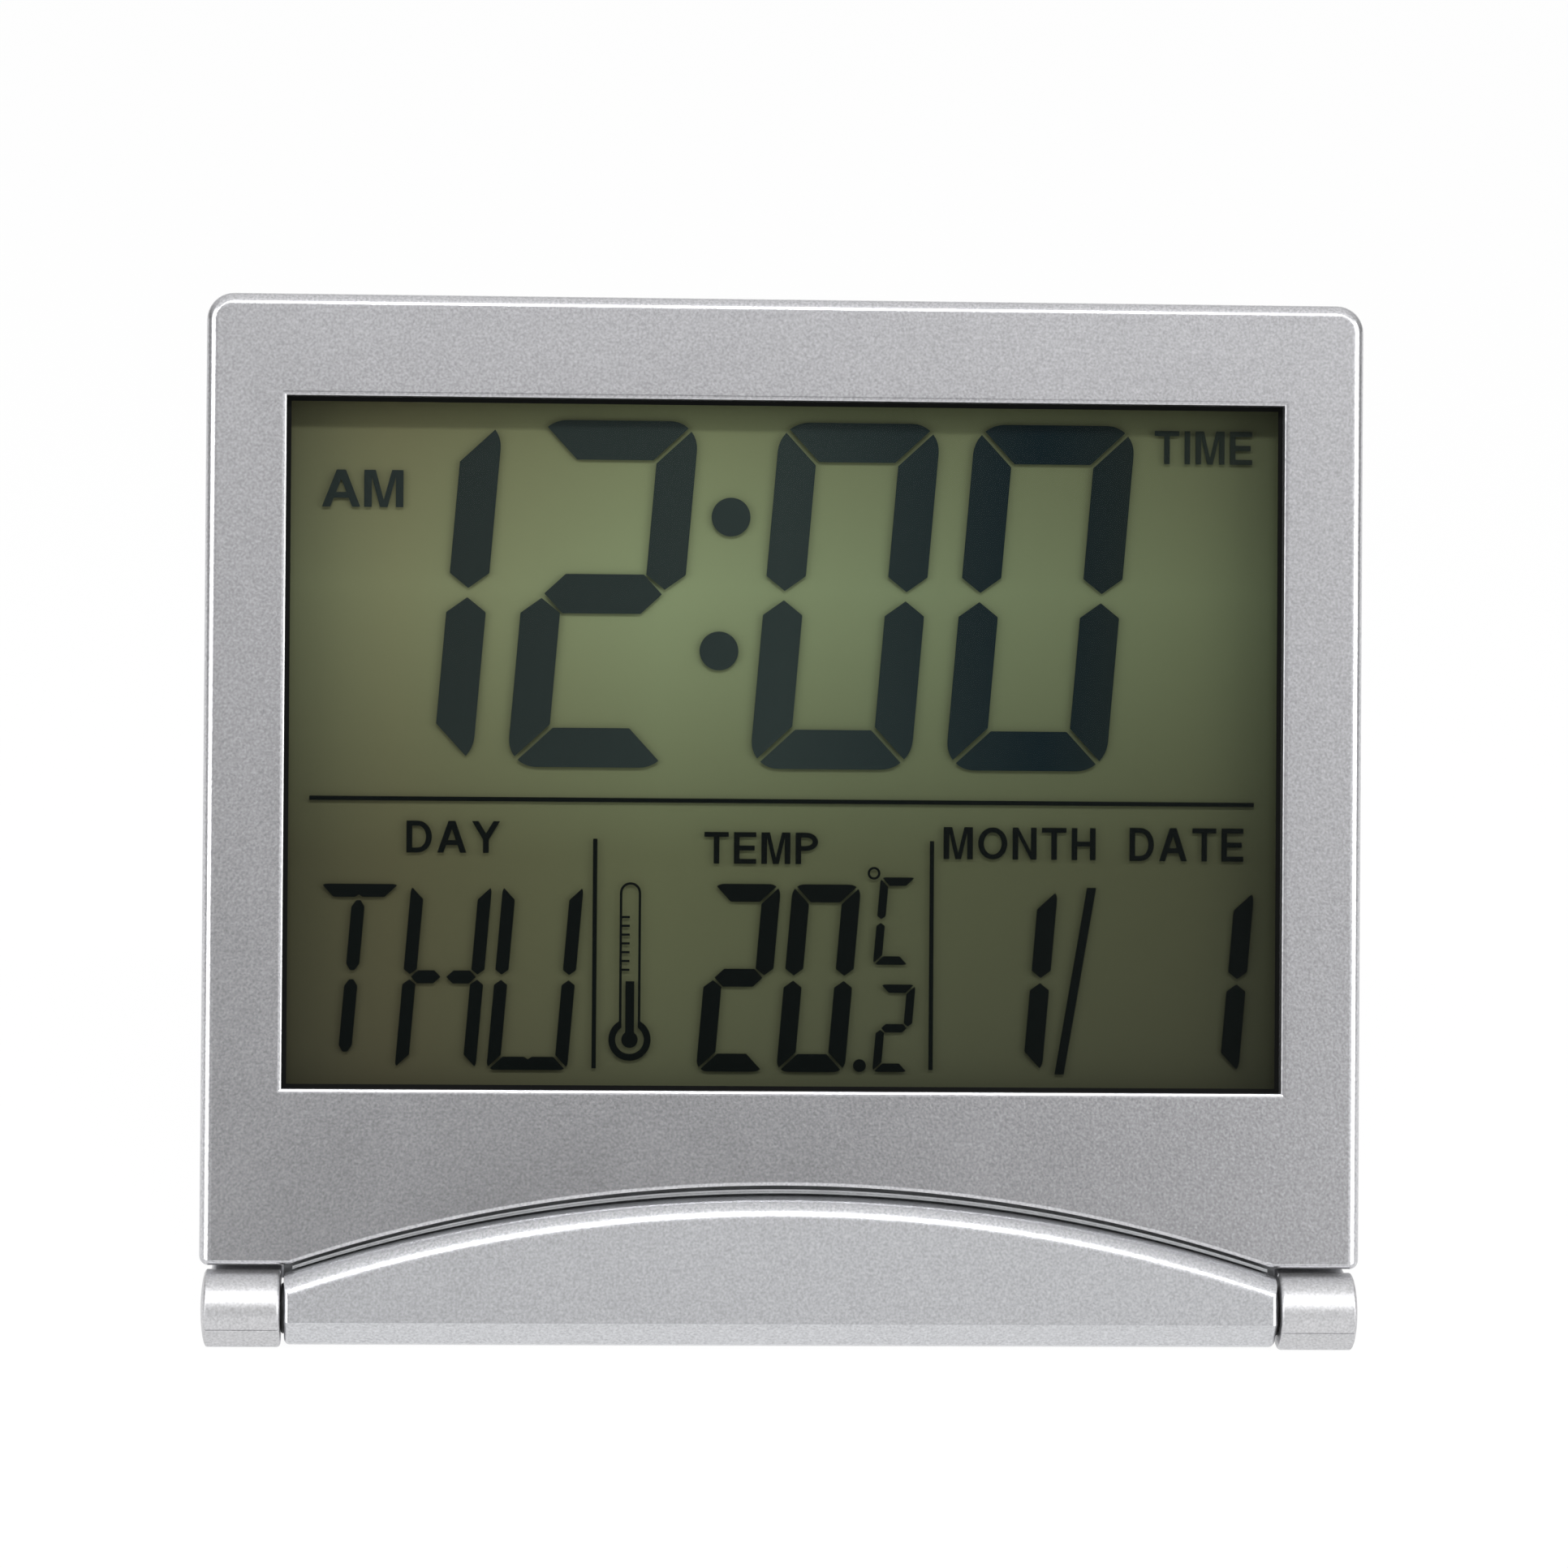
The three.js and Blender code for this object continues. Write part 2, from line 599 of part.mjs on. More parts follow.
// Flip cover, drawn closed over the face: panel with an arched edge, two lugs and two barrels
function flipCover() {
  const half = halfWidth - COVER_SIDE_INSET;
  const panel = roundedRect(-half, 0, half, caseTop, COVER_EDGE_RADIUS + SEAT, CORNER_RADIUS);
  const notch = prism(underArch(edgeArch, edgeArch.half), -BIG / 10, 0);
  let body = prism(panel, -BARREL_RADIUS, -coverInner, COVER_EDGE_RADIUS).subtract(notch);
  for (const side of [-1, 1]) body = body.add(coverBarrel(side));
  body = body
    .subtract(pinBore(barrelInner - HINGE_SIDE_GAP, barrelInner + PIN_ENGAGEMENT))
    .subtract(pinBore(-barrelInner - PIN_ENGAGEMENT, HINGE_SIDE_GAP - barrelInner));
  const table = beyond(standHeight, 1.5 * Math.PI + LEAN - openAngle);
  const facetTop = Math.PI + Math.asin(1 - BARREL_FACET_HEIGHT / BARREL_RADIUS);
  const facetTurn = (1.5 * Math.PI - LEAN - facetTop) / 2;
  const facet = beyond(BARREL_RADIUS * Math.cos(facetTurn), facetTop + facetTurn - openAngle);
  const inner = barrelInner - SEAT;
  const barrels = box(inner, BIG, -BIG, BIG, -BIG, BIG).add(box(-BIG, -inner, -BIG, BIG, -BIG, BIG));
  return body.subtract(table).subtract(facet.intersect(barrels));
}

// Rear shell: walls, lip, cell well, buzzer ring, key holes, screw bosses, sound holes and vents
function rearCase() {
  const front = bezelBack + SEAT;
  const cavity = prism(caseOutline(CASE_WALL, -BIG / 10), -BIG / 10, innerWall).subtract(
    underside(CASE_WALL / Math.cos(undersideSlope)),
  );
  const lipOuter = CASE_WALL + SEAT;
  const lipInner = lipOuter + LIP_THICKNESS;
  const lipFront = bezelBack - LIP_REACH;
  const lip = prism(caseOutline(lipOuter, windowBottom), lipFront, front + LIP_REACH)
    .add(prism(caseOutline(CASE_WALL - SEAT, windowBottom), front + SEAT, front + LIP_REACH))
    .subtract(prism(caseOutline(lipInner, -BIG / 10), -BIG / 10, BIG));
  const outline = caseOutline(0, -BIG / 10, 2 * REAR_EDGE_RADIUS);
  let body = prism(outline, front - 2 * REAR_EDGE_RADIUS, rearY, REAR_EDGE_RADIUS)
    .subtract(box(-BIG, BIG, -BIG, front, -BIG, BIG))
    .subtract(cavity)
    .subtract(underside())
    .add(lip);
  body = addWell(body);
  body = addBuzzerSeat(body);
  const bossRadius = screwBore + BOSS_WALL;
  for (const side of [-1, 1]) {
    body = body
      .add(rod(side * caseBossX, caseBossZ, bossSplit + SEAT, innerWall + SEAT, bossRadius))
      .subtract(bore(side * caseBossX, caseBossZ, -BIG, BIG, CASE_SCREW.shank + SEAT))
      .subtract(bore(side * caseBossX, caseBossZ, headSeat, BIG, screwBore))
      .subtract(underside());
    const post = boardTop - BOARD_SCREW_INSET;
    body = body.add(rod(side * TRAY_EAR_X, post, boardBack + SEAT, innerWall + SEAT, SMALL_SCREW.head));
  }
  for (const x of keyPlaces()) {
    body = body.subtract(prism(keyOutline(x, RUNNING), innerWall - SEAT, BIG));
  }
  for (let i = 0; i < VENT_COUNT; i++) {
    const z = boardBottom + BOARD_SCREW_INSET + (i + 1) * VENT_PITCH;
    const x0 = VENT_X - VENT_LENGTH / 2;
    const half = VENT_WIDTH / 2;
    const slot = roundedRect(x0, z - half, x0 + VENT_LENGTH, z + half, half * FULL_ROUND);
    body = body.subtract(prism(slot, innerWall - SEAT, BIG));
  }
  return body;
}

// The coin cell's well behind the rear wall, with the door's recess, ledge and bayonet notches
function addWell(shell) {
  const wellShoulder = plugFront - 2 * SEAT;
  const outer = [
    [0, wellFloorFront],
    [wellBore + WELL_WALL, wellFloorFront],
    [wellBore + WELL_WALL, wellShoulder - WELL_WALL],
    [wellRadius, wellShoulder - WELL_WALL],
    [wellRadius, rearY - CASE_WALL / 2],
    [0, rearY - CASE_WALL / 2],
  ];
  const inner = [
    [0, wellFloorBack],
    [wellBore, wellFloorBack],
    [wellBore, wellShoulder],
    [lugRoom, wellShoulder],
    [lugRoom, ledgeFront],
    [wellBore, ledgeFront],
    [wellBore, ledgeBack],
    [doorRecess, ledgeBack],
    [doorRecess, BIG],
    [0, BIG],
  ];
  let body = shell.add(revolve(outer, WELL_X, wellZ)).subtract(revolve(inner, WELL_X, wellZ));
  for (const start of [0, Math.PI]) {
    const angle = start - DOOR_TURN;
    const [front, back] = [ledgeFront - SEAT, ledgeBack + SEAT];
    body = body.subtract(sector(WELL_X, wellZ, CELL_RADIUS, lugRoom, angle, NOTCH_HALF_ANGLE, front, back));
  }
  for (const strip of [negativeStrip(), positiveStrip()]) {
    const gap = 2 * SEAT;
    body = body.subtract(
      box(
        strip.x - CONTACT_WIDTH / 2 - gap,
        strip.x + CONTACT_WIDTH / 2 + gap,
        strip.front - gap,
        strip.front + CONTACT_STRIP + gap,
        wellZ + CELL_RADIUS / 2,
        wellZ + wellRadius + gap,
      ),
    );
  }
  return body;
}

// Ring on the rear wall that the buzzer disc is glued to, with a rim round it and holes for the sound
function addBuzzerSeat(shell) {
  const seat = PIEZO_RADIUS - SOUND_RING_WALL;
  const rim = PIEZO_RADIUS + 2 * SEAT;
  const rimFront = soundRingFront - PIEZO_THICKNESS;
  const x = -WELL_X;
  let body = shell
    .add(rod(x, wellZ, rimFront, innerWall + SEAT, rim + SOUND_RING_WALL, DISC_SIDES))
    .subtract(rod(x, wellZ, -BIG, soundRingFront, rim, DISC_SIDES))
    .subtract(rod(x, wellZ, -BIG, innerWall, seat, DISC_SIDES));
  body = body.subtract(bore(x, wellZ, -BIG, BIG, SOUND_HOLE_RADIUS, SMALL_SIDES));
  for (let i = 0; i < SOUND_HOLES; i++) {
    const angle = (i * 2 * Math.PI) / SOUND_HOLES;
    const holeX = x + SOUND_HOLE_PITCH * Math.cos(angle);
    const holeZ = wellZ + SOUND_HOLE_PITCH * Math.sin(angle);
    body = body.subtract(bore(holeX, holeZ, -BIG, BIG, SOUND_HOLE_RADIUS, SMALL_SIDES));
  }
  return body;
}

// Display pieces are plates over the window; the front glass is taller by the contact ledge
function displayPlate(front, thickness, top) {
  return box(-displayHalf, displayHalf, front, front + thickness, displayBottom, top);
}

// Tray behind the display, with a slot for the zebra strip, board standoffs and two screw ears
function lcdTray() {
  const outline = roundedRect(-trayHalf, trayBottom, trayHalf, trayTop, TRAY_WALL);
  const pocketHalf = displayHalf + SEAT;
  const pocketBottom = displayBottom - SEAT;
  const pocket = box(-pocketHalf, pocketHalf, -BIG, trayFloorFront, pocketBottom, displayTop + SEAT);
  const slotHalf = ZEBRA_LENGTH / 2 + SEAT;
  const slotReach = ZEBRA_WIDTH / 2 + SEAT;
  let body = prism(outline, plateBack + SEAT, trayBack).subtract(pocket);
  body = body.subtract(box(-slotHalf, slotHalf, -BIG, BIG, zebraZ - slotReach, zebraZ + slotReach));
  const pilot = SMALL_SCREW.shank + PIN_FIT;
  for (const [x, z] of boardScrews) {
    body = body
      .add(rod(x, z, trayBack - SEAT, boardFront - SEAT, pilot + BOSS_WALL))
      .subtract(bore(x, z, trayFloorFront + SEAT, BIG, pilot, SMALL_SIDES));
  }
  for (const side of [-1, 1]) {
    const x = side * TRAY_EAR_X;
    const neck = box(x - earRadius, x + earRadius, earFront, trayBack, earZ, trayBottom + TRAY_WALL / 2);
    const ear = rod(x, earZ, earFront, trayBack, earRadius).add(neck);
    body = body.add(ear).subtract(bore(x, earZ, -BIG, BIG, pilot + SEAT, SMALL_SIDES));
  }
  return body;
}

// Circuit board with its screw holes
function mainBoard() {
  const outline = roundedRect(-boardHalf, boardBottom, boardHalf, boardTop, TRAY_WALL);
  let body = prism(outline, boardFront, boardBack);
  for (const [x, z] of boardScrews) {
    body = body.subtract(bore(x, z, -BIG, BIG, SMALL_SCREW.shank + SEAT, SMALL_SIDES));
  }
  return body;
}

// Domed resin over the controller chip
function controllerBlob() {
  const base = boardBack + SEAT;
  const profile = [[0, base]];
  for (let i = 0; i <= DOMED_STEPS; i++) {
    const turn = (i / DOMED_STEPS) * (Math.PI / 2);
    profile.push([BLOB_RADIUS * Math.cos(turn), base + BLOB_HEIGHT * Math.sin(turn)]);
  }
  profile[profile.length - 1][0] = 0;
  return revolve(profile, 0, boardBottom + BLOB_RADIUS + SEAT, BLOB_SIDES);
}

// Crystal can lying on the board, and the thermistor bead on its two legs
function quartzCrystal() {
  const geometry = new THREE.CylinderGeometry(CRYSTAL_RADIUS, CRYSTAL_RADIUS, CRYSTAL_LENGTH, ROD_SIDES);
  geometry.rotateZ(Math.PI / 2);
  geometry.translate(KEY_PITCH, boardBack + SEAT + CRYSTAL_RADIUS, boardBottom + BLOB_RADIUS);
  return solid(geometry);
}

function thermistor() {
  const x = VENT_X - LEG_PITCH;
  const z = boardBottom + BOARD_SCREW_INSET * 2;
  const beadY = (boardBack + innerWall) / 2;
  const bead = new THREE.SphereGeometry(BEAD_RADIUS, SMALL_SIDES, LEG_SIDES);
  bead.translate(x, beadY, z);
  let body = solid(bead);
  for (const side of [-1, 1]) {
    body = body.add(rod(x + (side * LEG_PITCH) / 2, z, boardBack + SEAT, beadY, LEG_RADIUS, LEG_SIDES));
  }
  return body;
}

// Keys: a row centred on the rear wall
function keyPlaces() {
  return KEY_NAMES.map((_, i) => (i - (KEY_NAMES.length - 1) / 2) * KEY_PITCH);
}

function keyOutline(x, grow) {
  const halfW = KEY_WIDTH / 2 + grow;
  const halfH = KEY_HEIGHT / 2 + grow;
  return roundedRect(x - halfW, keyZ - halfH, x + halfW, keyZ + halfH, halfH * FULL_ROUND);
}

function key(x) {
  const cap = prism(keyOutline(x, 0), flangeFront, rearY + KEY_PROUD, KEY_EDGE_RADIUS);
  const flange = prism(keyOutline(x, KEY_FLANGE_RIM), flangeFront, flangeFront + KEY_FLANGE);
  return cap.add(flange).add(rod(x, keyZ, stemFront, flangeFront + SEAT, KEY_STEM_RADIUS));
}

// Rubber dome between a key's stem and the board, open underneath
function keyDome(x) {
  const base = boardBack + SEAT;
  const top = stemFront - SEAT;
  const rise = top - base;
  const profile = [
    [DOME_RADIUS - DOME_WALL, base],
    [DOME_RADIUS, base],
    [DOME_RADIUS, base + rise * DOME_SKIRT],
    [DOME_TOP_RADIUS, base + rise * DOME_SHOULDER],
    [DOME_TOP_RADIUS, top],
    [0, top],
    [0, top - rise * DOME_CROWN],
    [DOME_TOP_RADIUS - DOME_WALL, top - rise * DOME_CROWN],
    [DOME_RADIUS - DOME_WALL, base],
  ];
  return revolve(profile, x, keyZ, ROD_SIDES);
}

// Battery door: flush disc with a coin slot, a plug ring and two bayonet lugs
function batteryDoor() {
  const edge = 2 * SEAT;
  const profile = [
    [plugRadius - PLUG_WALL, plugFront],
    [plugRadius, plugFront],
    [plugRadius, discFront],
    [doorRadius, discFront],
    [doorRadius, rearY - edge],
    [doorRadius - edge, rearY],
    [0, rearY],
    [0, discFront],
    [plugRadius - PLUG_WALL, discFront],
    [plugRadius - PLUG_WALL, plugFront],
  ];
  let body = revolve(profile, WELL_X, wellZ);
  for (const angle of [0, Math.PI]) {
    const inner = plugRadius - PLUG_WALL / 2;
    body = body.add(sector(WELL_X, wellZ, inner, lugRadius, angle, LUG_HALF_ANGLE, plugFront, lugBack));
  }
  const slot = roundedRect(
    WELL_X - COIN_SLOT_LENGTH / 2,
    wellZ - COIN_SLOT_WIDTH / 2,
    WELL_X + COIN_SLOT_LENGTH / 2,
    wellZ + COIN_SLOT_WIDTH / 2,
    (COIN_SLOT_WIDTH / 2) * FULL_ROUND,
  );
  return body.subtract(prism(slot, rearY - COIN_SLOT_DEPTH, BIG));
}

// Coin cell with its smaller negative can towards the board
function coinCell() {
  const step = CONTACT_STRIP;
  const profile = [
    [0, cellFront],
    [CELL_RADIUS - 4 * step, cellFront],
    [CELL_RADIUS - 4 * step, cellFront + 2 * step],
    [CELL_RADIUS, cellFront + 3 * step],
    [CELL_RADIUS, cellBack - step / 2],
    [CELL_RADIUS - step / 2, cellBack],
    [0, cellBack],
  ];
  return revolve(profile, WELL_X, wellZ);
}

// Where the two contact strips lie: one under the cell, one against its side
function negativeStrip() {
  const bottom = wellZ - CELL_RADIUS / 2;
  return { x: WELL_X - CONTACT_SPACING / 2, front: stripFront, bottom };
}

function positiveStrip() {
  const reach = CONTACT_SPACING / 2 - CONTACT_WIDTH / 2;
  const bottom = wellZ + Math.sqrt(CELL_RADIUS ** 2 - reach ** 2) + SEAT;
  return { x: WELL_X + CONTACT_SPACING / 2, front: boardBack + SEAT, bottom };
}

function contact(strip) {
  const half = CONTACT_WIDTH / 2;
  const outline = roundedRect(strip.x - half, strip.bottom, strip.x + half, boardBottom + CONTACT_LAP);
  return prism(outline, strip.front, strip.front + CONTACT_STRIP);
}

// Buzzer: brass disc on its ring, ceramic on the disc
function buzzerDisc(front, thickness, radius) {
  return rod(-WELL_X, wellZ, front, front + thickness, radius, DISC_SIDES);
}

// Leads from the buzzer up to the board: each leaves its disc, runs up the case and lands on a pad
function lead(side, startY, startZ) {
  const x = (side * LEAD_SPACING) / 2 - WELL_X;
  const landing = boardBack + SEAT + LEAD_RADIUS;
  const route = new THREE.CatmullRomCurve3([
    new THREE.Vector3(x, startY - SEAT - LEAD_RADIUS, startZ),
    new THREE.Vector3(x, startY - 2 * LEAD_RADIUS - SEAT, startZ + LEAD_LAP),
    new THREE.Vector3(x, landing, boardBottom),
    new THREE.Vector3(x, landing, boardBottom + LEAD_LAP),
  ]);
  const section = new THREE.Shape();
  section.absarc(0, 0, LEAD_RADIUS, 0, 2 * Math.PI);
  const options = { steps: LEAD_STEPS, curveSegments: LEG_SIDES / 2, extrudePath: route };
  return solid(new THREE.ExtrudeGeometry(section, options));
}

// The case and everything fixed to it, on the hinge axis
function caseGroup() {
  const group = new THREE.Group();
  group.add(
    mesh("front_bezel", frontBezel(), silver),
    mesh("hinge_block", hingeBlock(), silverBlock),
    mesh("rear_case", rearCase(), silver),
    mesh("hinge_pin_left", hingePin(-1), steel),
    mesh("hinge_pin_right", hingePin(1), steel),
    mesh("display_lens", displayPlate(lensFront, LENS_THICKNESS, displayTop), clear),
    mesh("lcd_front_polariser", displayPlate(polariserFront, POLARISER_THICKNESS, cellGlassTop), film),
    mesh("lcd_front_glass", displayPlate(frontGlassFront, GLASS_THICKNESS, displayTop), cellGlass),
    mesh("lcd_rear_glass", displayPlate(rearGlassFront, GLASS_THICKNESS, cellGlassTop), cellGlass),
    mesh("lcd_reflector", displayPlate(reflectorFront, REFLECTOR_THICKNESS, cellGlassTop), reflectorGreen),
    mesh("lcd_tray", lcdTray(), blackPlastic),
    mesh("zebra_strip", zebraStrip(), blackRubber),
    mesh("main_board", mainBoard(), boardGreen),
    mesh("controller_blob", controllerBlob(), blackPlastic),
    mesh("quartz_crystal", quartzCrystal(), steel),
    mesh("thermistor", thermistor(), blackPlastic),
    mesh("battery_door", batteryDoor(), silver),
    mesh("coin_cell", coinCell(), steel),
    mesh("cell_contact_negative", contact(negativeStrip()), steel),
    mesh("cell_contact_positive", contact(positiveStrip()), steel),
    mesh("piezo_plate", buzzerDisc(piezoFront, PIEZO_THICKNESS, PIEZO_RADIUS), brass),
    mesh("piezo_ceramic", buzzerDisc(ceramicFront, CERAMIC_THICKNESS, CERAMIC_RADIUS), ceramic),
    mesh("piezo_lead_plate", lead(-1, piezoFront, wellZ + CERAMIC_RADIUS + 2 * LEAD_RADIUS), blackSleeve),
    mesh("piezo_lead_ceramic", lead(1, ceramicFront, wellZ + LEAD_LAP), redSleeve),
  );
  keyPlaces().forEach((x, i) => {
    const name = KEY_NAMES[i];
    group.add(mesh(`${name}_button`, key(x), silver), mesh(`${name}_dome`, keyDome(x), blackRubber));
  });
  addScrews(group);
  return group;
}

function zebraStrip() {
  const half = ZEBRA_LENGTH / 2;
  const reach = ZEBRA_WIDTH / 2;
  return box(-half, half, frontGlassBack + SEAT, boardFront - SEAT, zebraZ - reach, zebraZ + reach);
}

// Screws of the case, the board, the tray and the hinge block
function addScrews(group) {
  boardScrews.forEach(([x, z], i) => {
    const body = screw(x, z, boardBack + SEAT, trayFloorFront + 2 * SEAT, SMALL_SCREW);
    group.add(mesh(`board_screw_${i + 1}`, body, steel));
  });
  [-1, 1].forEach((side, i) => {
    const place = ["left", "right"][i];
    const caseScrew = screw(side * caseBossX, caseBossZ, headSeat + SEAT, plateBack + SEAT, CASE_SCREW);
    const trayScrew = screw(side * TRAY_EAR_X, earZ, trayBack + SEAT, plateBack + SEAT, SMALL_SCREW);
    const blockScrew = screw(side * TAB_X, tabZ, BLOCK_BACK + SEAT, plateBack + SEAT, BLOCK_SCREW);
    group.add(
      mesh(`case_screw_${place}`, caseScrew, steel),
      mesh(`tray_screw_${place}`, trayScrew, steel),
      mesh(`block_screw_${place}`, blockScrew, steel),
    );
  });
}

// The case leans back about the hinge axis; the cover is swung open from its closed place over the face
const clock = new THREE.Group();
const body = caseGroup();
body.rotation.x = -LEAN;
const cover = mesh("flip_cover", flipCover(), silver);
cover.rotation.x = openAngle - LEAN;
clock.add(body, cover);

// Stand the clock on z = 0 with its footprint centred on the origin
const bounds = new THREE.Box3().setFromObject(clock, true);
const middle = bounds.getCenter(new THREE.Vector3());
clock.children.forEach((child) => child.position.set(0, -middle.y, -bounds.min.z));

export default clock;
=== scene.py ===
# Looks of the folding LCD alarm clock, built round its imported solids. Metres, +Z up, the display faces -Y.
import json
import math

import bmesh
import bpy
from mathutils import Matrix, Quaternion, Vector


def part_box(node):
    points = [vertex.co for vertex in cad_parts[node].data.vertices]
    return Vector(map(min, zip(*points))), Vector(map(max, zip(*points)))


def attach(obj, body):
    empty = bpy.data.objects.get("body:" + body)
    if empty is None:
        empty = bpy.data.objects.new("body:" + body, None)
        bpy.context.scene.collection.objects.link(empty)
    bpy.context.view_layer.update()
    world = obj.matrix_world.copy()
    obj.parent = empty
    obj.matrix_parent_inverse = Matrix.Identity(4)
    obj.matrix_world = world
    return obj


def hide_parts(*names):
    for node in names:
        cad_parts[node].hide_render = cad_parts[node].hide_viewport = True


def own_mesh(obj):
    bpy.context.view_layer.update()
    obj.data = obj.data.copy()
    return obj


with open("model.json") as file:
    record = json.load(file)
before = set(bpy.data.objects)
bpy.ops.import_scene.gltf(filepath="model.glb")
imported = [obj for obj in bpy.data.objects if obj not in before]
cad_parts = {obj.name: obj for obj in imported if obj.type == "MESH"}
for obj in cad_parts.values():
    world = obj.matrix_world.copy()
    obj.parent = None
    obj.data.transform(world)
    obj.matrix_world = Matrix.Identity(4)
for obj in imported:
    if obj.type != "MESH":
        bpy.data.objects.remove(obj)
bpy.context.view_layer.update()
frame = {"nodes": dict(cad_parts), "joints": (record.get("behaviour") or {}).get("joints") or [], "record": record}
MM = 0.001

# Case front: the part's own sizes, with its corners and edges as the photo shows them
WINDOW_WIDTH = 77.6 * MM
WINDOW_HEIGHT = 53.6 * MM
DISPLAY_OVERLAP = 1.5 * MM
FACE_PLATE = 1.6 * MM
BEZEL_DEPTH = 3.3 * MM
CASE_WALL = 1.6 * MM
CORNER_RADIUS = 2.1 * MM
FACE_EDGE_RADIUS = 0.95 * MM
FOOT_CORNER_RADIUS = 0.8 * MM
FOOT_CORNER_LEAST = 0.05 * MM
FOOT_EDGE_RADIUS = 0.5 * MM
OPENING_BEVEL = 0.34 * MM
OPENING_BEVEL_ANGLE = math.radians(27)
OVERCUT = 0.015 * MM
SEAT = 0.1 * MM
TOUCH = 0.01 * MM
WELD = 0.001 * MM

# Hinge, arched block and cover
BARREL_RADIUS = 3 * MM
BARREL_DOME = 0.5 * MM
BARREL_LENGTH = 6.15 * MM
BARREL_FACET_HEIGHT = 1.45 * MM
BARREL_END_RADIUS = 0.3 * MM
BARREL_MARGIN = 0.15 * MM
HINGE_SIDE_GAP = 0.35 * MM
HINGE_TOP_GAP = 0.27 * MM
ARCH_RISE = 5.93 * MM
ARCH_FOOT_DROP = 0.25 * MM
ARCH_REVEAL = 0.75 * MM
BLOCK_FILLET = 1.8 * MM
BLOCK_END_RADIUS = 0.4 * MM
BLOCK_FRONT_RADIUS = 0.45 * MM
BLOCK_FACET_HEIGHT = 1.9 * MM
BLOCK_FACET_END = math.radians(245)
BLOCK_LIFT = 0.2 * MM
BLOCK_BACK = 1.9 * MM
BLOCK_TILT = math.radians(6.5)
BLOCK_SIDE_GROWTH = 0.05 * MM
RIB_START = 0.18
RIB_END = 0.6
RIB_RADIUS = 0.1 * MM
RIB_INSET = 0.6 * MM
FLANGE_HEIGHT = 2.6 * MM
FLANGE_REACH = 0.1 * MM
WASHER_RADIUS = 1.95 * MM
PARTING_DEPTH = 0.14 * MM
PARTING_HALF = 0.07 * MM
COVER_THICKNESS = 1.5 * MM
COVER_EDGE_RADIUS = 0.45 * MM
COVER_SIDE_INSET = 0.9 * MM
PIN_BORE = 0.86 * MM
PIN_ENGAGEMENT = 3.6 * MM
FAR = 40 * MM
VAST = 5 * FAR

# Facets
ARCH_STEPS = 72
ROUND_STEPS = 6
FILLET_STEPS = 12
CORNER_STEPS = 10
BLOCK_STEPS = 24
DOME_STEPS = 10
RIM_STEPS = 5
BARREL_SIDES = 96
BORE_SIDES = 32
SHARP_ANGLE = math.radians(32)
SHARPEST_CORNER = 0.2
FACING_FRONT = -0.9
NORMAL_WEIGHT = 100

# Camera: how it stands to the display face, and the width it takes in there
CAMERA_DISTANCE = 450 * MM
CAMERA_YAW = math.radians(3.0)
CAMERA_PITCH = math.radians(-0.8)
CAMERA_ROLL = math.radians(-0.413)
CAMERA_WIDTH = 121.82 * MM
CAMERA_AIM_HEIGHT = 40.79 * MM
CAMERA_AIM_SIDE = -0.06 * MM
CAMERA_SENSOR = 36

# Room: its light, and how white it is to what mirrors it, by degrees off the display's own direction
ROOM_LIGHT = 0.35
ROOM_DIM = [(0, 0.0), (4, 0.0), (10, 0.7), (14, 0.7), (20, 0.62), (180, 0.62)]
ROOM_DIM_SIDE = math.tan(math.radians(2))
ROOM_DIM_DROP = math.tan(math.radians(6))
ROOM_RIGHT = 0.7
ROOM_SKY = 0.92
ROOM_NEAR = [(0, 1), (25, 1), (50, 0), (180, 0)]
ROOM_SURROUND = [(0, 0), (25, 0), (50, 1), (68, 1), (80, 0.2), (122, 0.2), (140, 1), (180, 1)]
# Lamps: degrees up, to the right and of roll, width and height in metres, watts
LAMP_DISTANCE = 0.5
LAMPS = {
    "key": (32, 0, 0, (0.2, 0.03), 0.95),
    "corner_left": (28, -28, 42, (0.26, 0.04), 0.15),
    "corner_right": (28, 28, -42, (0.26, 0.04), 0.15),
    "left": (5, -55, 0, (0.28, 0.4), 0.8),
    "right": (5, 55, 0, (0.28, 0.4), 1.0),
}
FLOOR_FRONT = -0.16
FLOOR_REACH = 3.0
FLOOR_PAINT = (0.9, 0.9, 0.9, 1)
FLOOR_GLOW = 1.03
FLOOR_WHITE = 0.94

# The case's own frame: x to the right, y to the rear, z up the display face, from the hinge axis
aside = Vector((1, 0, 0))
joints = {joint["name"]: joint for joint in frame["joints"]}
hinge = Vector(joints["cover_hinge"]["pos_m"])
rearward = -Vector(joints["mode_press"]["axis"])
upward = aside.cross(rearward)
open_angle = math.radians(joints["cover_hinge"]["range_deg"][1])
underside_slope = open_angle - 1.5 * math.pi
lean = math.asin(-rearward.z)
case_frame = Matrix.Translation(hinge) @ Matrix((aside, rearward, upward)).transposed().to_4x4()
cover_frame = Matrix.Translation(hinge) @ Matrix.Rotation(open_angle, 4, "X") @ (
    Matrix.Translation(-hinge) @ case_frame
)


def case_span(*nodes):
    """Lowest and highest corner of CAD nodes in the case's frame."""
    back = case_frame.inverted()
    points = [back @ vertex.co for node in nodes for vertex in frame["nodes"][node].data.vertices]
    low = Vector(min(p[i] for p in points) for i in range(3))
    high = Vector(max(p[i] for p in points) for i in range(3))
    return low, high


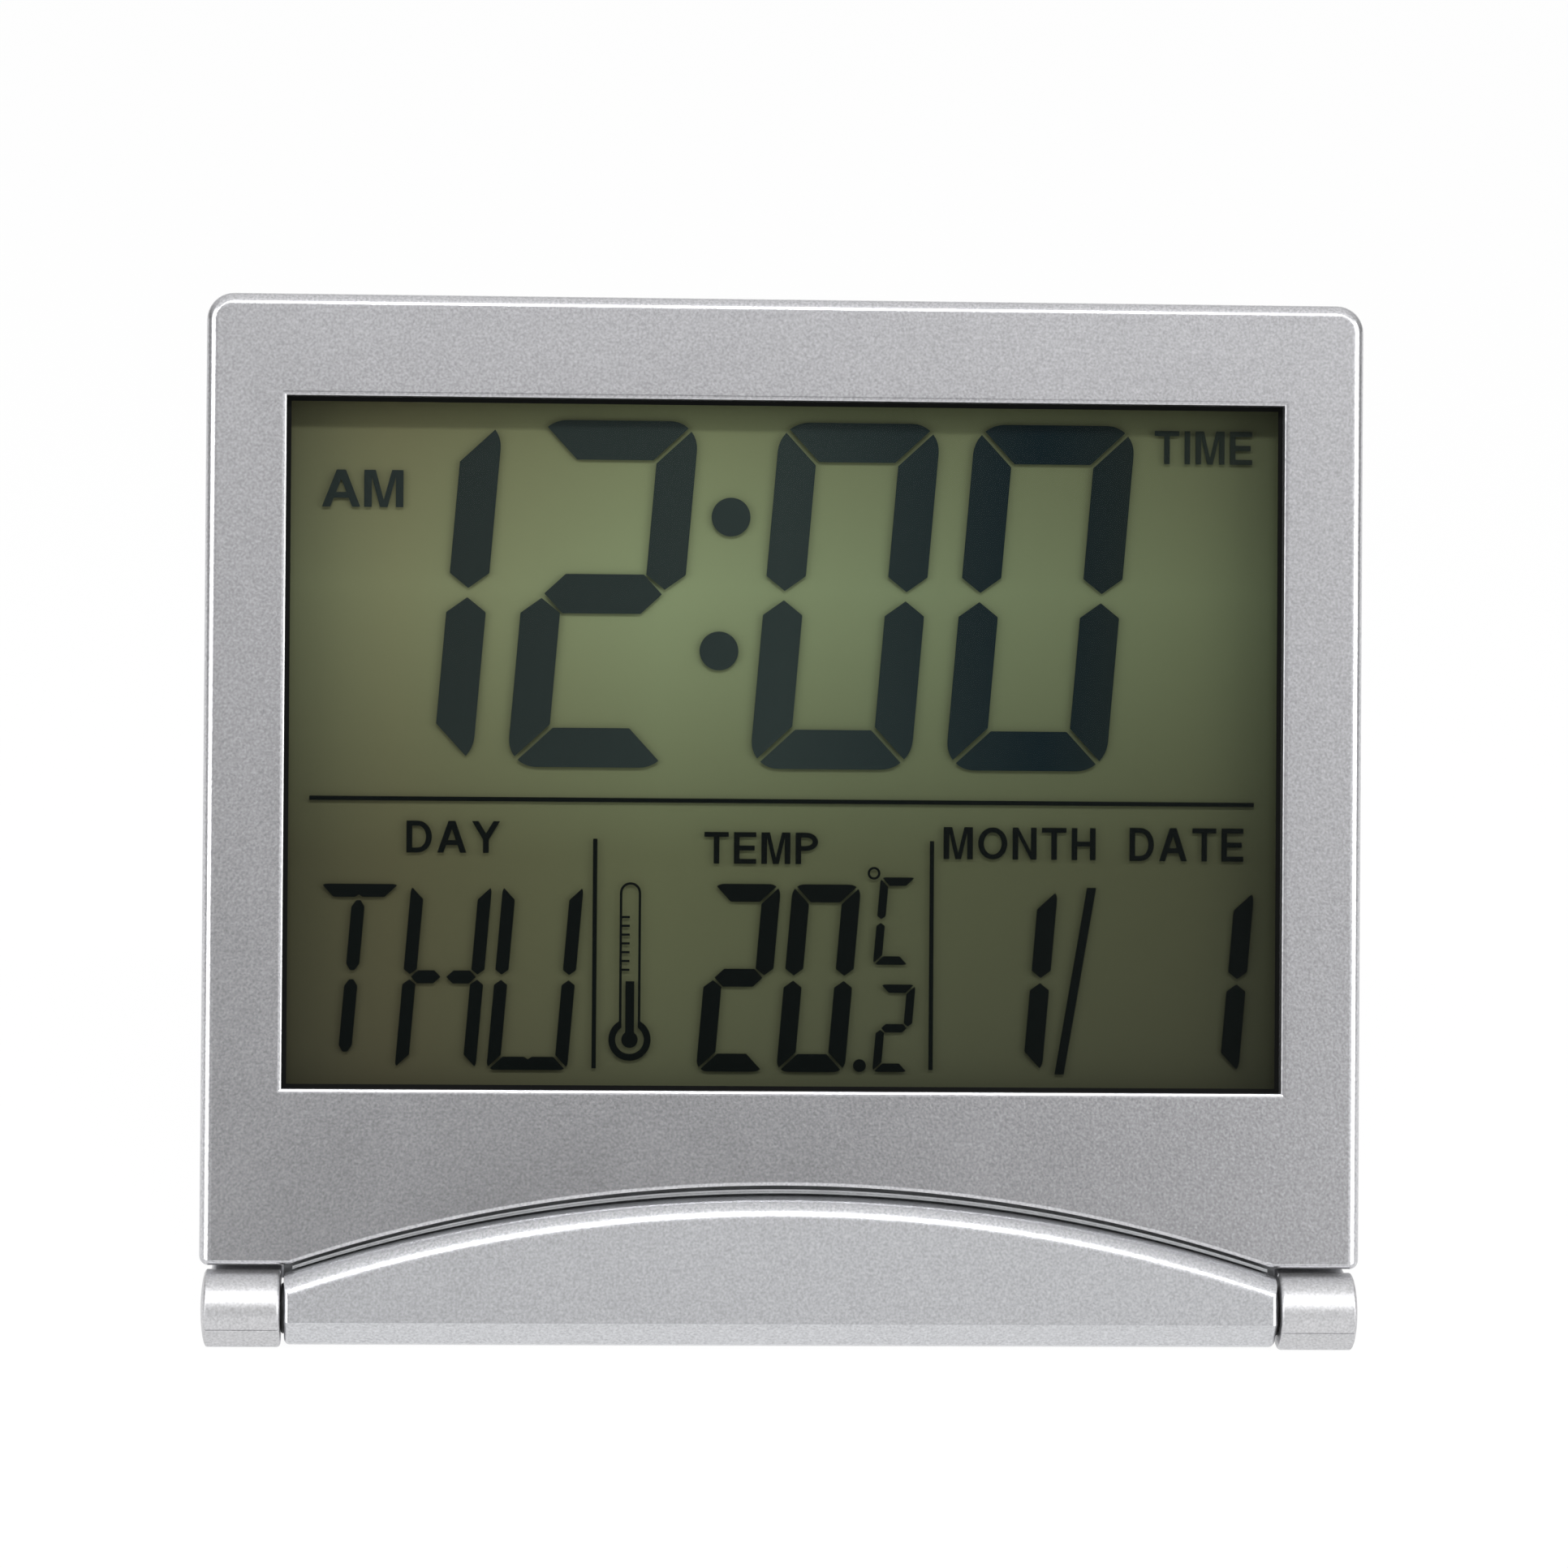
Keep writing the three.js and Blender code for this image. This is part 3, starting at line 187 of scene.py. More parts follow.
# Levels that the shells share
bezel_low, bezel_high = case_span("front_bezel")
block_side = case_span("hinge_block")[1].x
half_width = bezel_high.x
case_top = bezel_high.z
face = bezel_low.y
plate_back = face + FACE_PLATE
bezel_back = face + BEZEL_DEPTH
groove_floor = plate_back + SEAT
case_bottom = BARREL_RADIUS + HINGE_TOP_GAP
window_top = case_span("lcd_reflector")[1].z - DISPLAY_OVERLAP
window_bottom = window_top - WINDOW_HEIGHT
window_middle = (window_top + window_bottom) / 2
block_half = block_side + BLOCK_SIDE_GROWTH
barrel_inner = block_side + HINGE_SIDE_GAP
barrel_outer = barrel_inner + BARREL_LENGTH
block_crown = BARREL_RADIUS + ARCH_RISE


# Outlines are closed lists of (across, along) points, counter-clockwise
def arc(centre, radius, start, end, steps):
    turns = [start + (end - start) * i / steps for i in range(steps + 1)]
    return [(centre[0] + radius * math.cos(t), centre[1] + radius * math.sin(t)) for t in turns]


def circle(centre, radius, steps=32):
    return arc(centre, radius, 0, 2 * math.pi * (steps - 1) / steps, steps - 1)


def band(x0, z0, x1, z1):
    return [(x0, z0), (x1, z0), (x1, z1), (x0, z1)]


def rounded_rect(x0, z0, x1, z1, lower=0.0, upper=0.0):
    quarter = math.pi / 2
    corners = [
        (x1 - lower, z0 + lower, lower, -quarter),
        (x1 - upper, z1 - upper, upper, 0.0),
        (x0 + upper, z1 - upper, upper, quarter),
        (x0 + lower, z0 + lower, lower, 2 * quarter),
    ]
    points = []
    for x, z, radius, start in corners:
        if radius > 0:
            points += arc((x, z), radius, start, start + quarter, CORNER_STEPS)
        else:
            points.append((x, z))
    return points


def window_outline(margin=0.0):
    """The display window, larger by a margin."""
    half = WINDOW_WIDTH / 2 + margin
    return rounded_rect(-half, window_bottom - margin, half, window_top + margin)


def arch_height(half, foot, rise, offset=0.0):
    """Height over x of a circle through two feet and a crown, moved out by an offset."""
    radius = (half * half + rise * rise) / (2 * rise)
    centre = foot + rise - radius
    return lambda x: centre + math.sqrt((radius + offset) ** 2 - x * x)


def stations(half):
    """Places across an arch, from right to left."""
    return [half - 2 * half * i / ARCH_STEPS for i in range(ARCH_STEPS + 1)]


def under_arch(height, half):
    """The outline under an arch, down to well below the case."""
    return [(-half, -FAR), (half, -FAR)] + [(x, height(x)) for x in stations(half)]


def grown(points, distance):
    """A closed outline whose sides are moved outward by a distance."""
    result = []
    count = len(points)
    for i in range(count):
        here = Vector(points[i])
        before = (here - Vector(points[i - 1])).normalized()
        after = (Vector(points[(i + 1) % count]) - here).normalized()
        normals = Vector((before.y, -before.x)), Vector((after.y, -after.x))
        middle = (normals[0] + normals[1]).normalized()
        result.append(here + middle * (distance / max(middle.dot(normals[0]), SHARPEST_CORNER)))
    return [(p.x, p.y) for p in result]


arch_foot = BARREL_RADIUS - ARCH_FOOT_DROP
block_arch = arch_height(block_half, arch_foot, block_crown - arch_foot)
edge_arch = arch_height(barrel_inner, case_bottom, block_crown + ARCH_REVEAL - case_bottom)


# Solids
def new_object(name, data):
    piece = bpy.data.objects.new(name, data)
    bpy.context.scene.collection.objects.link(piece)
    return piece


def object_from(name, mesh):
    """A new object from an edit mesh, which is used up."""
    data = bpy.data.meshes.new(name)
    mesh.to_mesh(data)
    mesh.free()
    return new_object(name, data)


def skin(mesh, rings, hoop=False):
    """Adds a closed skin through rings of as many points, with a flat face at each end or bent to a hoop."""
    loops = [[mesh.verts.new(p) for p in ring] for ring in rings]
    count = len(loops[0])
    for first, second in zip(loops, loops[1:] + loops[:1] if hoop else loops[1:]):
        for i in range(count):
            j = (i + 1) % count
            mesh.faces.new((first[i], first[j], second[j], second[i]))
    if not hoop:
        mesh.faces.new(loops[0][::-1])
        mesh.faces.new(loops[-1])
    bmesh.ops.recalc_face_normals(mesh, faces=mesh.faces)


def body_from(rings, hoop=False):
    mesh = bmesh.new()
    skin(mesh, rings, hoop)
    return object_from("solid", mesh)


def extrude(outline, start, end, round_start=0.0, round_end=0.0, along="Y", steps=ROUND_STEPS):
    """An outline drawn out along an axis, with its ends rounded in."""
    levels = []
    for base, radius, inward in ((start, round_start, 1), (end, round_end, -1)):
        turns = [math.pi / 2 * i / steps for i in range(steps + 1)] if radius > 0 else [math.pi / 2]
        rows = [(base + inward * radius * (1 - math.cos(t)), radius * (math.sin(t) - 1)) for t in turns]
        levels += rows if inward > 0 else rows[::-1]
    order = {"X": (2, 0, 1), "Y": (0, 2, 1), "Z": (0, 1, 2)}[along]
    rings = []
    for level, out in levels:
        points = [(*point, level) for point in grown(outline, out)]
        rings.append([tuple(point[i] for i in order) for point in points])
    return body_from(rings)


def revolve_x(profile, sides=BARREL_SIDES, hoop=False):
    """A profile of (x, radius) pairs turned about the hinge axis."""
    turns = [2 * math.pi * i / sides for i in range(sides)]
    rings = [[(x, radius * math.cos(t), radius * math.sin(t)) for t in turns] for x, radius in profile]
    return body_from(rings, hoop)


def half_space(distance, angle):
    """A block past a distance from the hinge axis, its normal at an angle from +Y towards +Z."""
    block = extrude(band(-VAST, -VAST, VAST, VAST), distance, distance + VAST)
    block.data.transform(Matrix.Rotation(angle, 4, "X"))
    return block


def combine(target, tool, operation):
    """Cuts, joins or intersects a body with another, which is used up."""
    modifier = target.modifiers.new("combine", "BOOLEAN")
    modifier.operation = operation
    modifier.solver = "MANIFOLD"
    modifier.object = tool
    evaluated = target.evaluated_get(bpy.context.evaluated_depsgraph_get())
    result = bpy.data.meshes.new_from_object(evaluated)
    target.modifiers.clear()
    target.data = result
    bpy.data.objects.remove(tool)


def cut(target, *tools):
    for tool in tools:
        combine(target, tool, "DIFFERENCE")


def weigh_normals(piece):
    normals = piece.modifiers.new("normals", "WEIGHTED_NORMAL")
    normals.keep_sharp = True
    normals.weight = NORMAL_WEIGHT


def dress(piece, name, finish, replaced=(), body="clock_body", place=case_frame):
    """Names a piece, puts it in its frame, smooths it and lets it ride on its body, for CAD nodes if any."""
    data = piece.data
    piece.name = name
    data.name = name
    data.transform(place)
    data.materials.clear()
    data.materials.append(materials[finish])
    data.polygons.foreach_set("material_index", [0] * len(data.polygons))
    data.polygons.foreach_set("use_smooth", [True] * len(data.polygons))
    data.set_sharp_from_angle(angle=SHARP_ANGLE)
    weigh_normals(piece)
    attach(piece, body)
    if replaced:
        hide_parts(*replaced)


def repaint(piece, finish, chosen):
    """Gives the chosen faces of a piece a second finish."""
    piece.data.materials.append(materials[finish])
    piece.data.polygons.foreach_set("material_index", [int(flag) for flag in chosen])


# Materials
class Nodes:
    """A node tree with short ways to add nodes and feed their inputs."""

    def __init__(self, tree):
        self.tree = tree

    def feed(self, socket, value):
        """Joins an output to an input, or sets the input's own value."""
        if isinstance(value, bpy.types.NodeSocket):
            self.tree.links.new(value, socket)
        else:
            socket.default_value = value

    def add(self, kind, inputs=None, **settings):
        node = self.tree.nodes.new(kind)
        for name, value in settings.items():
            setattr(node, name, value)
        for key, value in (inputs or {}).items():
            self.feed(node.inputs[key], value)
        return node

    def calculate(self, operation, first, second=0.0, clamp=False):
        node = self.add("ShaderNodeMath", {0: first, 1: second}, operation=operation, use_clamp=clamp)
        return node.outputs["Value"]

    def mix(self, share, first, second, **settings):
        node = self.add("ShaderNodeMix", {"Factor": share, "A": first, "B": second}, **settings)
        return node.outputs["Result"]

    def white_share(self):
        """One for rays that see the background: camera, glossy and transmission rays."""
        path = self.add("ShaderNodeLightPath").outputs
        front = self.calculate("MAXIMUM", path["Is Camera Ray"], path["Is Glossy Ray"])
        return self.calculate("MAXIMUM", front, path["Is Transmission Ray"])


class Shader(Nodes):
    """A node material on one Principled surface, in the part's own metres."""

    def __init__(self, name):
        self.material = bpy.data.materials.new(name)
        self.material.use_nodes = True
        super().__init__(self.material.node_tree)
        self.surface = self.tree.nodes["Principled BSDF"]
        self.place = self.add("ShaderNodeTexCoord").outputs["Object"]

    def set(self, **values):
        """Feeds the surface's inputs, with _ for each space in their names."""
        for name, value in values.items():
            self.feed(self.surface.inputs[name.replace("_", " ")], value)

    def noise(self, size, detail=2.0):
        """Noise whose features are about a size across."""
        inputs = {"Vector": self.place, "Scale": 1 / size, "Detail": detail}
        return self.add("ShaderNodeTexNoise", inputs).outputs["Fac"]

    def ramp(self, factor, stops):
        node = self.add("ShaderNodeValToRGB", {"Fac": factor})
        elements = node.color_ramp.elements
        while len(elements) < len(stops):
            elements.new(0.5)
        for element, (position, colour) in zip(elements, stops):
            element.position = position
            element.color = (*colour, 1)
        return node.outputs["Color"]

    def position(self, axis, low, high):
        """How far along an axis a point lies: 0 at the low end, 1 at the high end."""
        value = self.add("ShaderNodeSeparateXYZ", {"Vector": self.place}).outputs[axis]
        inputs = {"Value": value, "From Min": low, "From Max": high}
        return self.add("ShaderNodeMapRange", inputs).outputs["Result"]

    def around(self, value, middle, spread):
        """A value from 0 to 1 brought to a spread on both sides of a middle."""
        inputs = {"Value": value, "To Min": middle - spread, "To Max": middle + spread}
        return self.add("ShaderNodeMapRange", inputs).outputs["Result"]

    def bump(self, height, depth, strength):
        node = self.add("ShaderNodeBump", {"Height": height, "Distance": depth, "Strength": strength})
        self.set(Normal=node.outputs["Normal"])


def srgb(red, green, blue):
    """Linear colour of an sRGB colour in bytes."""
    def linear(byte):
        value = byte / 255
        return value / 12.92 if value <= 0.04045 else ((value + 0.055) / 1.055) ** 2.4

    return linear(red), linear(green), linear(blue)


def coat(name, tint, roughness, fleck, stops, clouds, spread, grain, depth, strength, **settings):
    """A surface with flecks of colour, clouds of roughness and a grain, each a noise of a size and detail."""
    shader = Shader(name)
    colour = srgb(*tint)
    shades = [(at, [min(c * share, 1) for c in colour]) for at, share in stops]
    shader.bump(shader.noise(*grain), depth, strength)
    shader.set(
        Base_Color=shader.ramp(shader.noise(*fleck), shades),
        Roughness=shader.around(shader.noise(*clouds), roughness, spread),
        **settings,
    )
    return shader.material


def metallic_paint(name, tint, roughness):
    """Silver paint over moulded plastic: fine flakes, faint clouds and a little orange peel."""
    return coat(
        name, tint, roughness, fleck=(0.2 * MM, 3.0), stops=[(0.3, 0.82), (0.5, 1), (0.72, 1.18)],
        clouds=(9 * MM, 4.0), spread=0.03, grain=(0.3 * MM, 2.0), depth=0.012 * MM, strength=0.6,
        Metallic=0.85,
    )


def plastic(name, tint, roughness, size, gloss=0.5):
    """Moulded plastic or rubber with a fine grain."""
    fine = (size, 2.0)
    return coat(
        name, tint, roughness, fleck=(2 * MM, 4.0), stops=[(0.3, 0.85), (0.7, 1.15)],
        clouds=fine, spread=0.06, grain=fine, depth=0.02 * MM, strength=0.5, Specular_IOR_Level=gloss,
    )


def metal(name, tint, roughness):
    """Plated metal with drawn streaks."""
    streaks = (0.25 * MM, 5.0)
    return coat(
        name, tint, roughness, fleck=streaks, stops=[(0.3, 0.9), (0.7, 1)],
        clouds=streaks, spread=0.08, grain=streaks, depth=0.004 * MM, strength=0.4, Metallic=1.0,
    )


def pane(name, tint, cover, roughness):
    """Clear sheet: its alpha is how much of the light it stops."""
    shader = Shader(name)
    haze = shader.noise(size=6 * MM, detail=3.0)
    shader.set(
        Base_Color=(*srgb(*tint), 1),
        Roughness=shader.around(haze, roughness, spread=0.3 * roughness),
        Alpha=cover,
    )
    return shader.material


# Display colours: the reflector's up its height and their shares across it, painted light and shade over its own
# olive, and the ink's across the time's row, a painted reflection
REFLECTOR_SHADE_UP = [
    (0.0, srgb(72, 75, 53)), (0.35, srgb(81, 86, 58)), (0.72, srgb(119, 132, 96)), (1.0, srgb(101, 107, 74)),
]
REFLECTOR_SHADE_ACROSS = [
    (0.0, (0.6, 0.54, 0.54)), (0.12, (0.8, 0.69, 0.67)), (0.38, (1.0, 1.0, 1.0)), (0.6, (0.77, 0.78, 0.78)),
    (0.9, (0.54, 0.53, 0.5)), (1.0, (0.4, 0.4, 0.38)),
]
TIME_INK_REFLECTION = [
    (0.15, srgb(32, 40, 38)), (0.5, srgb(38, 48, 46)), (0.75, srgb(9, 24, 28)), (0.9, srgb(26, 33, 28)),
]
LOWER_INK = srgb(2, 6, 5)
INK_CHANGE = (0.43, 0.46)


def shaded_reflector_film(name):
    """Olive reflector behind the display with painted light and shade: lightest above its middle, and painted
    shade dims it towards its sides.
    """
    shader = Shader(name)
    low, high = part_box("lcd_reflector")
    upright = shader.ramp(shader.position("Z", low.z, high.z), REFLECTOR_SHADE_UP)
    across = shader.ramp(shader.position("X", low.x, high.x), REFLECTOR_SHADE_ACROSS)
    shader.bump(shader.noise(size=0.2 * MM), depth=0.01 * MM, strength=0.3)
    shader.set(
        Base_Color=shader.mix(1, upright, across, data_type="RGBA", blend_type="MULTIPLY"),
        Roughness=0.6,
        Specular_IOR_Level=0.2,
    )
    return shader.material


def segment_ink(name):
    """Switched segments: black in the lower rows; in the time's row a painted reflection makes them greyer, most
    so at its middle.
    """
    shader = Shader(name)
    low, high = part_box("lcd_reflector")
    change = [low.z + share * (high.z - low.z) for share in INK_CHANGE]
    upper = shader.ramp(shader.position("X", low.x, high.x), TIME_INK_REFLECTION)
    shader.set(
        Base_Color=shader.mix(shader.position("Z", *change), (*LOWER_INK, 1), upper, data_type="RGBA"),
        Roughness=0.7,
        Specular_IOR_Level=0.05,
    )
    return shader.material


# Looks by name. Paints and metals: tint, roughness. Plastics: tint, roughness, grain, gloss if not the usual.
# Panes: tint, cover, roughness
PAINTS = {
    "face_silver": ((200, 200, 203), 0.22),
    "case_silver": ((203, 203, 206), 0.36),
    "barrel_silver": ((201, 201, 203), 0.4),
    "block_silver": ((201, 202, 205), 0.22),
}
METALS = {
    "steel": ((200, 202, 206), 0.3),
    "cell_can": ((208, 210, 212), 0.28),
    "brass": ((212, 178, 96), 0.32),
}
PLASTICS = {
    "black_plastic": ((28, 29, 30), 0.55, 0.15 * MM),
    # painted shade: black for the rim inside the window, where the gap lies in shade
    "mask_black": ((10, 11, 10), 0.8, 0.15 * MM, 0.1),
    # painted shade: a darker grey for the groove's floor and the lip in it
    "groove_grey": ((150, 152, 154), 0.6, 0.15 * MM),
    "mark_grey": ((58, 59, 62), 0.6, 0.1 * MM),
    "black_rubber": ((34, 34, 36), 0.8, 0.2 * MM),
    "board_green": ((47, 107, 60), 0.5, 0.4 * MM),
    "ceramic": ((230, 226, 214), 0.5, 0.1 * MM),
    "black_sleeve": ((32, 32, 32), 0.5, 0.3 * MM),
    "red_sleeve": ((166, 35, 31), 0.5, 0.3 * MM),
}
PANES = {
    "clear_pane": ((20, 22, 20), 0.08, 0.05),
    "polariser_film": ((120, 128, 104), 0.12, 0.3),
    "lcd_glass": ((225, 235, 222), 0.03, 0.05),
}
materials = {"reflector_green": shaded_reflector_film("reflector_green"), "lcd_segment": segment_ink("lcd_segment")}
for make, looks in ((metallic_paint, PAINTS), (metal, METALS), (plastic, PLASTICS), (pane, PANES)):
    for name, look in looks.items():
        materials[name] = make(name, *look)


# Finish of the CAD nodes that stay
def soften_group():
    """Node group that joins split corners and shades all but the sharp edges smooth."""
    group = bpy.data.node_groups.new("soften", "GeometryNodeTree")
    for way in ("INPUT", "OUTPUT"):
        group.interface.new_socket("Geometry", in_out=way, socket_type="NodeSocketGeometry")
    nodes = Nodes(group)
    entry = nodes.add("NodeGroupInput").outputs[0]
    weld = nodes.add("GeometryNodeMergeByDistance", {"Geometry": entry, "Distance": WELD})
    angle = nodes.add("GeometryNodeInputMeshEdgeAngle").outputs["Unsigned Angle"]
    soft = nodes.add("FunctionNodeCompare", {"A": angle, "B": SHARP_ANGLE}, operation="LESS_THAN")
    shading = {"Geometry": weld.outputs["Geometry"], "Shade Smooth": soft.outputs["Result"]}
    edges = nodes.add("GeometryNodeSetShadeSmooth", shading, domain="EDGE")
    faces = nodes.add("GeometryNodeSetShadeSmooth", {"Geometry": edges.outputs["Geometry"]})
    nodes.add("NodeGroupOutput", {0: faces.outputs["Geometry"]})
    return group


def dress_nodes():
    group = soften_group()
    for part in frame["record"]["subparts"]:
        node = frame["nodes"][part["node"]]
        node.material_slots[0].material = materials[part["material_slot"]]
        node.modifiers.new("soften", "NODES").node_group = group
        weigh_normals(node)


# Shells
def bevelled_cutter(outline):
    """An opening's cutter, which takes a shallow bevel off the face round it."""
    slope = math.tan(OPENING_BEVEL_ANGLE)
    levels = [
        (face - OVERCUT, OPENING_BEVEL + OVERCUT / slope),
        (face + OPENING_BEVEL * slope, 0),
        (bezel_back + FAR, 0),
    ]
    return body_from([[(x, level, z) for x, z in grown(outline, out)] for level, out in levels])


def bezel_body():
    """The bezel as a full block, its face's edge rounded, and less so along the foot."""
    rings = []
    for i in range(ROUND_STEPS + 1):
        turn = math.pi / 2 * i / ROUND_STEPS
        inset = FACE_EDGE_RADIUS * (1 - math.sin(turn))
        lift = FOOT_EDGE_RADIUS * (1 - math.sin(turn))
        level = face + FACE_EDGE_RADIUS * (1 - math.cos(turn))
        side = half_width - inset
        foot = max(FOOT_CORNER_RADIUS - inset, FOOT_CORNER_LEAST)
        outline = rounded_rect(-side, case_bottom + lift, side, case_top - inset, foot, CORNER_RADIUS - inset)
        rings.append([(x, level, z) for x, z in outline])
    rings.append([(x, bezel_back, z) for x, z in outline])
    return body_from(rings)


def bezel_shell():
    shell = bezel_body()
    inner = half_width - CASE_WALL
    cheek = case_bottom + BEZEL_DEPTH * math.tan(underside_slope) + CASE_WALL
    roof = rounded_rect(-inner, cheek, inner, case_top - CASE_WALL, 0, CORNER_RADIUS - CASE_WALL)
    mouth = [(-barrel_inner, cheek), (-barrel_inner, -FAR), (barrel_inner, -FAR), (barrel_inner, cheek)]
    openings = [window_outline(), under_arch(edge_arch, barrel_inner)]
    below = half_space(0, -math.pi / 2 + underside_slope)
    below.data.transform(Matrix.Translation((0, face, case_bottom)))
    cut(shell, extrude(mouth + roof, plate_back, FAR), *map(bevelled_cutter, openings), below)
    dress(shell, "bezel_shell", "face_silver", ["front_bezel"])


def arch_rib(half):
    """A thin lip that stands in the groove between the block and the bezel's arch."""
    def height(x, share):
        return block_arch(x) + share * (edge_arch(x) - block_arch(x))

    xs = stations(half)
    outline = [(x, height(x, RIB_END)) for x in xs] + [(x, height(x, RIB_START)) for x in xs[::-1]]
    return extrude(outline, face + RIB_RADIUS, groove_floor + SEAT, round_start=RIB_RADIUS)


def washers():
    """Washers on the hinge pins, between the block and the cover's barrels, black so that the narrow gaps read
    dark: painted shade.
    """
    start, end = block_half - SEAT, barrel_inner - SEAT / 2
    rim = [(start, WASHER_RADIUS), (end - SEAT, WASHER_RADIUS), (end, WASHER_RADIUS - SEAT)]
    profile = rim + [(end, PIN_BORE), (start, PIN_BORE)]
    for side, name in ((-1, "hinge_washer_left"), (1, "hinge_washer_right")):
        washer = revolve_x([(side * x, radius) for x, radius in profile], hoop=True)
        dress(washer, name, "black_plastic")


def in_groove(polygon):
    """Whether a face of the block is the groove's floor, or belongs to the lip that stands in it."""
    x, depth, z = polygon.center
    on_floor = abs(depth - groove_floor) < TOUCH and polygon.normal.y < FACING_FRONT
    return on_floor or (depth < groove_floor and z > block_arch(x) + WELD)


def block_bar():
    """The block's side view drawn out to its width: a facet below, then round the hinge to the back."""
    radius = BARREL_RADIUS - BLOCK_LIFT
    corner = Vector((-BARREL_RADIUS, BLOCK_FACET_HEIGHT - radius))
    facet = Vector((radius * math.cos(BLOCK_FACET_END), radius * math.sin(BLOCK_FACET_END)))
    ahead = corner + (corner - facet)
    back = 2 * math.pi + math.acos(BLOCK_BACK / radius)
    profile = [(ahead.x, FAR), tuple(ahead), tuple(facet)]
    profile += arc((0, 0), radius, BLOCK_FACET_END, back, BLOCK_STEPS)[1:] + [(BLOCK_BACK, FAR)]
    bar = extrude(profile, -block_half, block_half, BLOCK_END_RADIUS, BLOCK_END_RADIUS, along="X")
    return bar, corner.y


def block_shell():
    outline = under_arch(block_arch, block_half + 2 * BLOCK_FILLET)
    shell = extrude(outline, -BARREL_RADIUS, FAR, round_start=BLOCK_FILLET, steps=FILLET_STEPS)
    bar, facet_top = block_bar()
    combine(shell, bar, "INTERSECT")
    plan = rounded_rect(-block_half, -BARREL_RADIUS, block_half, FAR, lower=BLOCK_FRONT_RADIUS)
    combine(shell, extrude(plan, -FAR, FAR, along="Z"), "INTERSECT")
    for vertex in shell.data.vertices:
        if vertex.co.y < 0 and vertex.co.z > facet_top:
            vertex.co.y += (vertex.co.z - facet_top) * math.tan(BLOCK_TILT)
    flange_arch = arch_height(block_half, BARREL_RADIUS, ARCH_RISE, FLANGE_HEIGHT)
    flange = under_arch(flange_arch, block_half + FLANGE_REACH)
    flange = [(x, max(z, BARREL_RADIUS / 2)) for x, z in flange]
    combine(shell, extrude(flange, groove_floor, BLOCK_BACK), "UNION")
    combine(shell, arch_rib(block_half - RIB_INSET), "UNION")
    # Painted shade: the groove's floor and the lip in it get a darker grey than the block
    groove = [in_groove(polygon) for polygon in shell.data.polygons]
    dress(shell, "arched_block", "block_silver", ["hinge_block"])
    repaint(shell, "groove_grey", groove)


def barrel(side):
    """One of the cover's barrels: a rounded rim at the block, a low dome at the outer end."""
    rim = (barrel_inner + BARREL_END_RADIUS, BARREL_RADIUS - BARREL_END_RADIUS)
    profile = arc(rim, BARREL_END_RADIUS, math.pi, math.pi / 2, RIM_STEPS)
    for i in range(DOME_STEPS):
        turn = math.pi / 2 * i / DOME_STEPS
        profile.append((barrel_outer - BARREL_DOME * (1 - math.sin(turn)), BARREL_RADIUS * math.cos(turn)))
    return revolve_x([(side * x, radius) for x, radius in profile])


def parting_line(side, turn):
    """A small groove along a barrel, at an angle about the hinge."""
    spoke = Vector((math.cos(turn), math.sin(turn)))
    across = Vector((-math.sin(turn), math.cos(turn))) * (2 * PARTING_HALF)
    deep, shallow = spoke * (BARREL_RADIUS - PARTING_DEPTH), spoke * (BARREL_RADIUS + PARTING_DEPTH)
    outline = [tuple(point) for point in (deep, shallow - across, shallow + across)]
    ends = sorted((side * (barrel_inner - SEAT), side * (barrel_outer + SEAT)))
    return extrude(outline, *ends, along="X")


def on_barrel(polygon):
    """Whether a face of the cover belongs to one of its barrels."""
    near = Vector(polygon.center.yz).length < BARREL_RADIUS + BARREL_MARGIN
    return near and abs(polygon.center.x) > barrel_inner - SEAT


def cover_shell():
    half = half_width - COVER_SIDE_INSET
    outline = rounded_rect(-half, 0, half, case_top, COVER_EDGE_RADIUS + SEAT, CORNER_RADIUS)
    inside = COVER_THICKNESS - BARREL_RADIUS
    shell = extrude(outline, -BARREL_RADIUS, inside, COVER_EDGE_RADIUS, COVER_EDGE_RADIUS)
    cut(shell, extrude(under_arch(edge_arch, barrel_inner), -FAR, 0))
    for side in (-1, 1):
        combine(shell, barrel(side), "UNION")
        bore = [barrel_inner - HINGE_SIDE_GAP, barrel_inner + PIN_ENGAGEMENT]
        cut(shell, revolve_x([(side * x, PIN_BORE) for x in bore], BORE_SIDES))
    cut(shell, half_space(hinge.z, 1.5 * math.pi + lean - open_angle))
    facet_top = math.pi + math.asin(1 - BARREL_FACET_HEIGHT / BARREL_RADIUS)
    facet_turn = (1.5 * math.pi - lean - facet_top) / 2
    for side in (-1, 1):
        facet = half_space(BARREL_RADIUS * math.cos(facet_turn), facet_top + facet_turn - open_angle)
        facet.data.transform(Matrix.Translation((side * (VAST + barrel_inner - SEAT), 0, 0)))
        cut(shell, facet, parting_line(side, facet_top - open_angle))
    barrels = [on_barrel(polygon) for polygon in shell.data.polygons]
    dress(shell, "cover_shell", "case_silver", ["flip_cover"], "cover", cover_frame)
    repaint(shell, "barrel_silver", barrels)


# Display: switched segments and printed legends lie between the two glasses
SEGMENT_DEPTH = 0.03 * MM
SEGMENT_RECESS = 2.0 * MM
SEGMENT_LIFT = 0.35 * MM
SHADE_RIM_SHOW = 0.35 * MM
lens_front = case_span("display_lens")[0].y
segment_level = lens_front + SEGMENT_RECESS
panel_level = segment_level + SEGMENT_LIFT

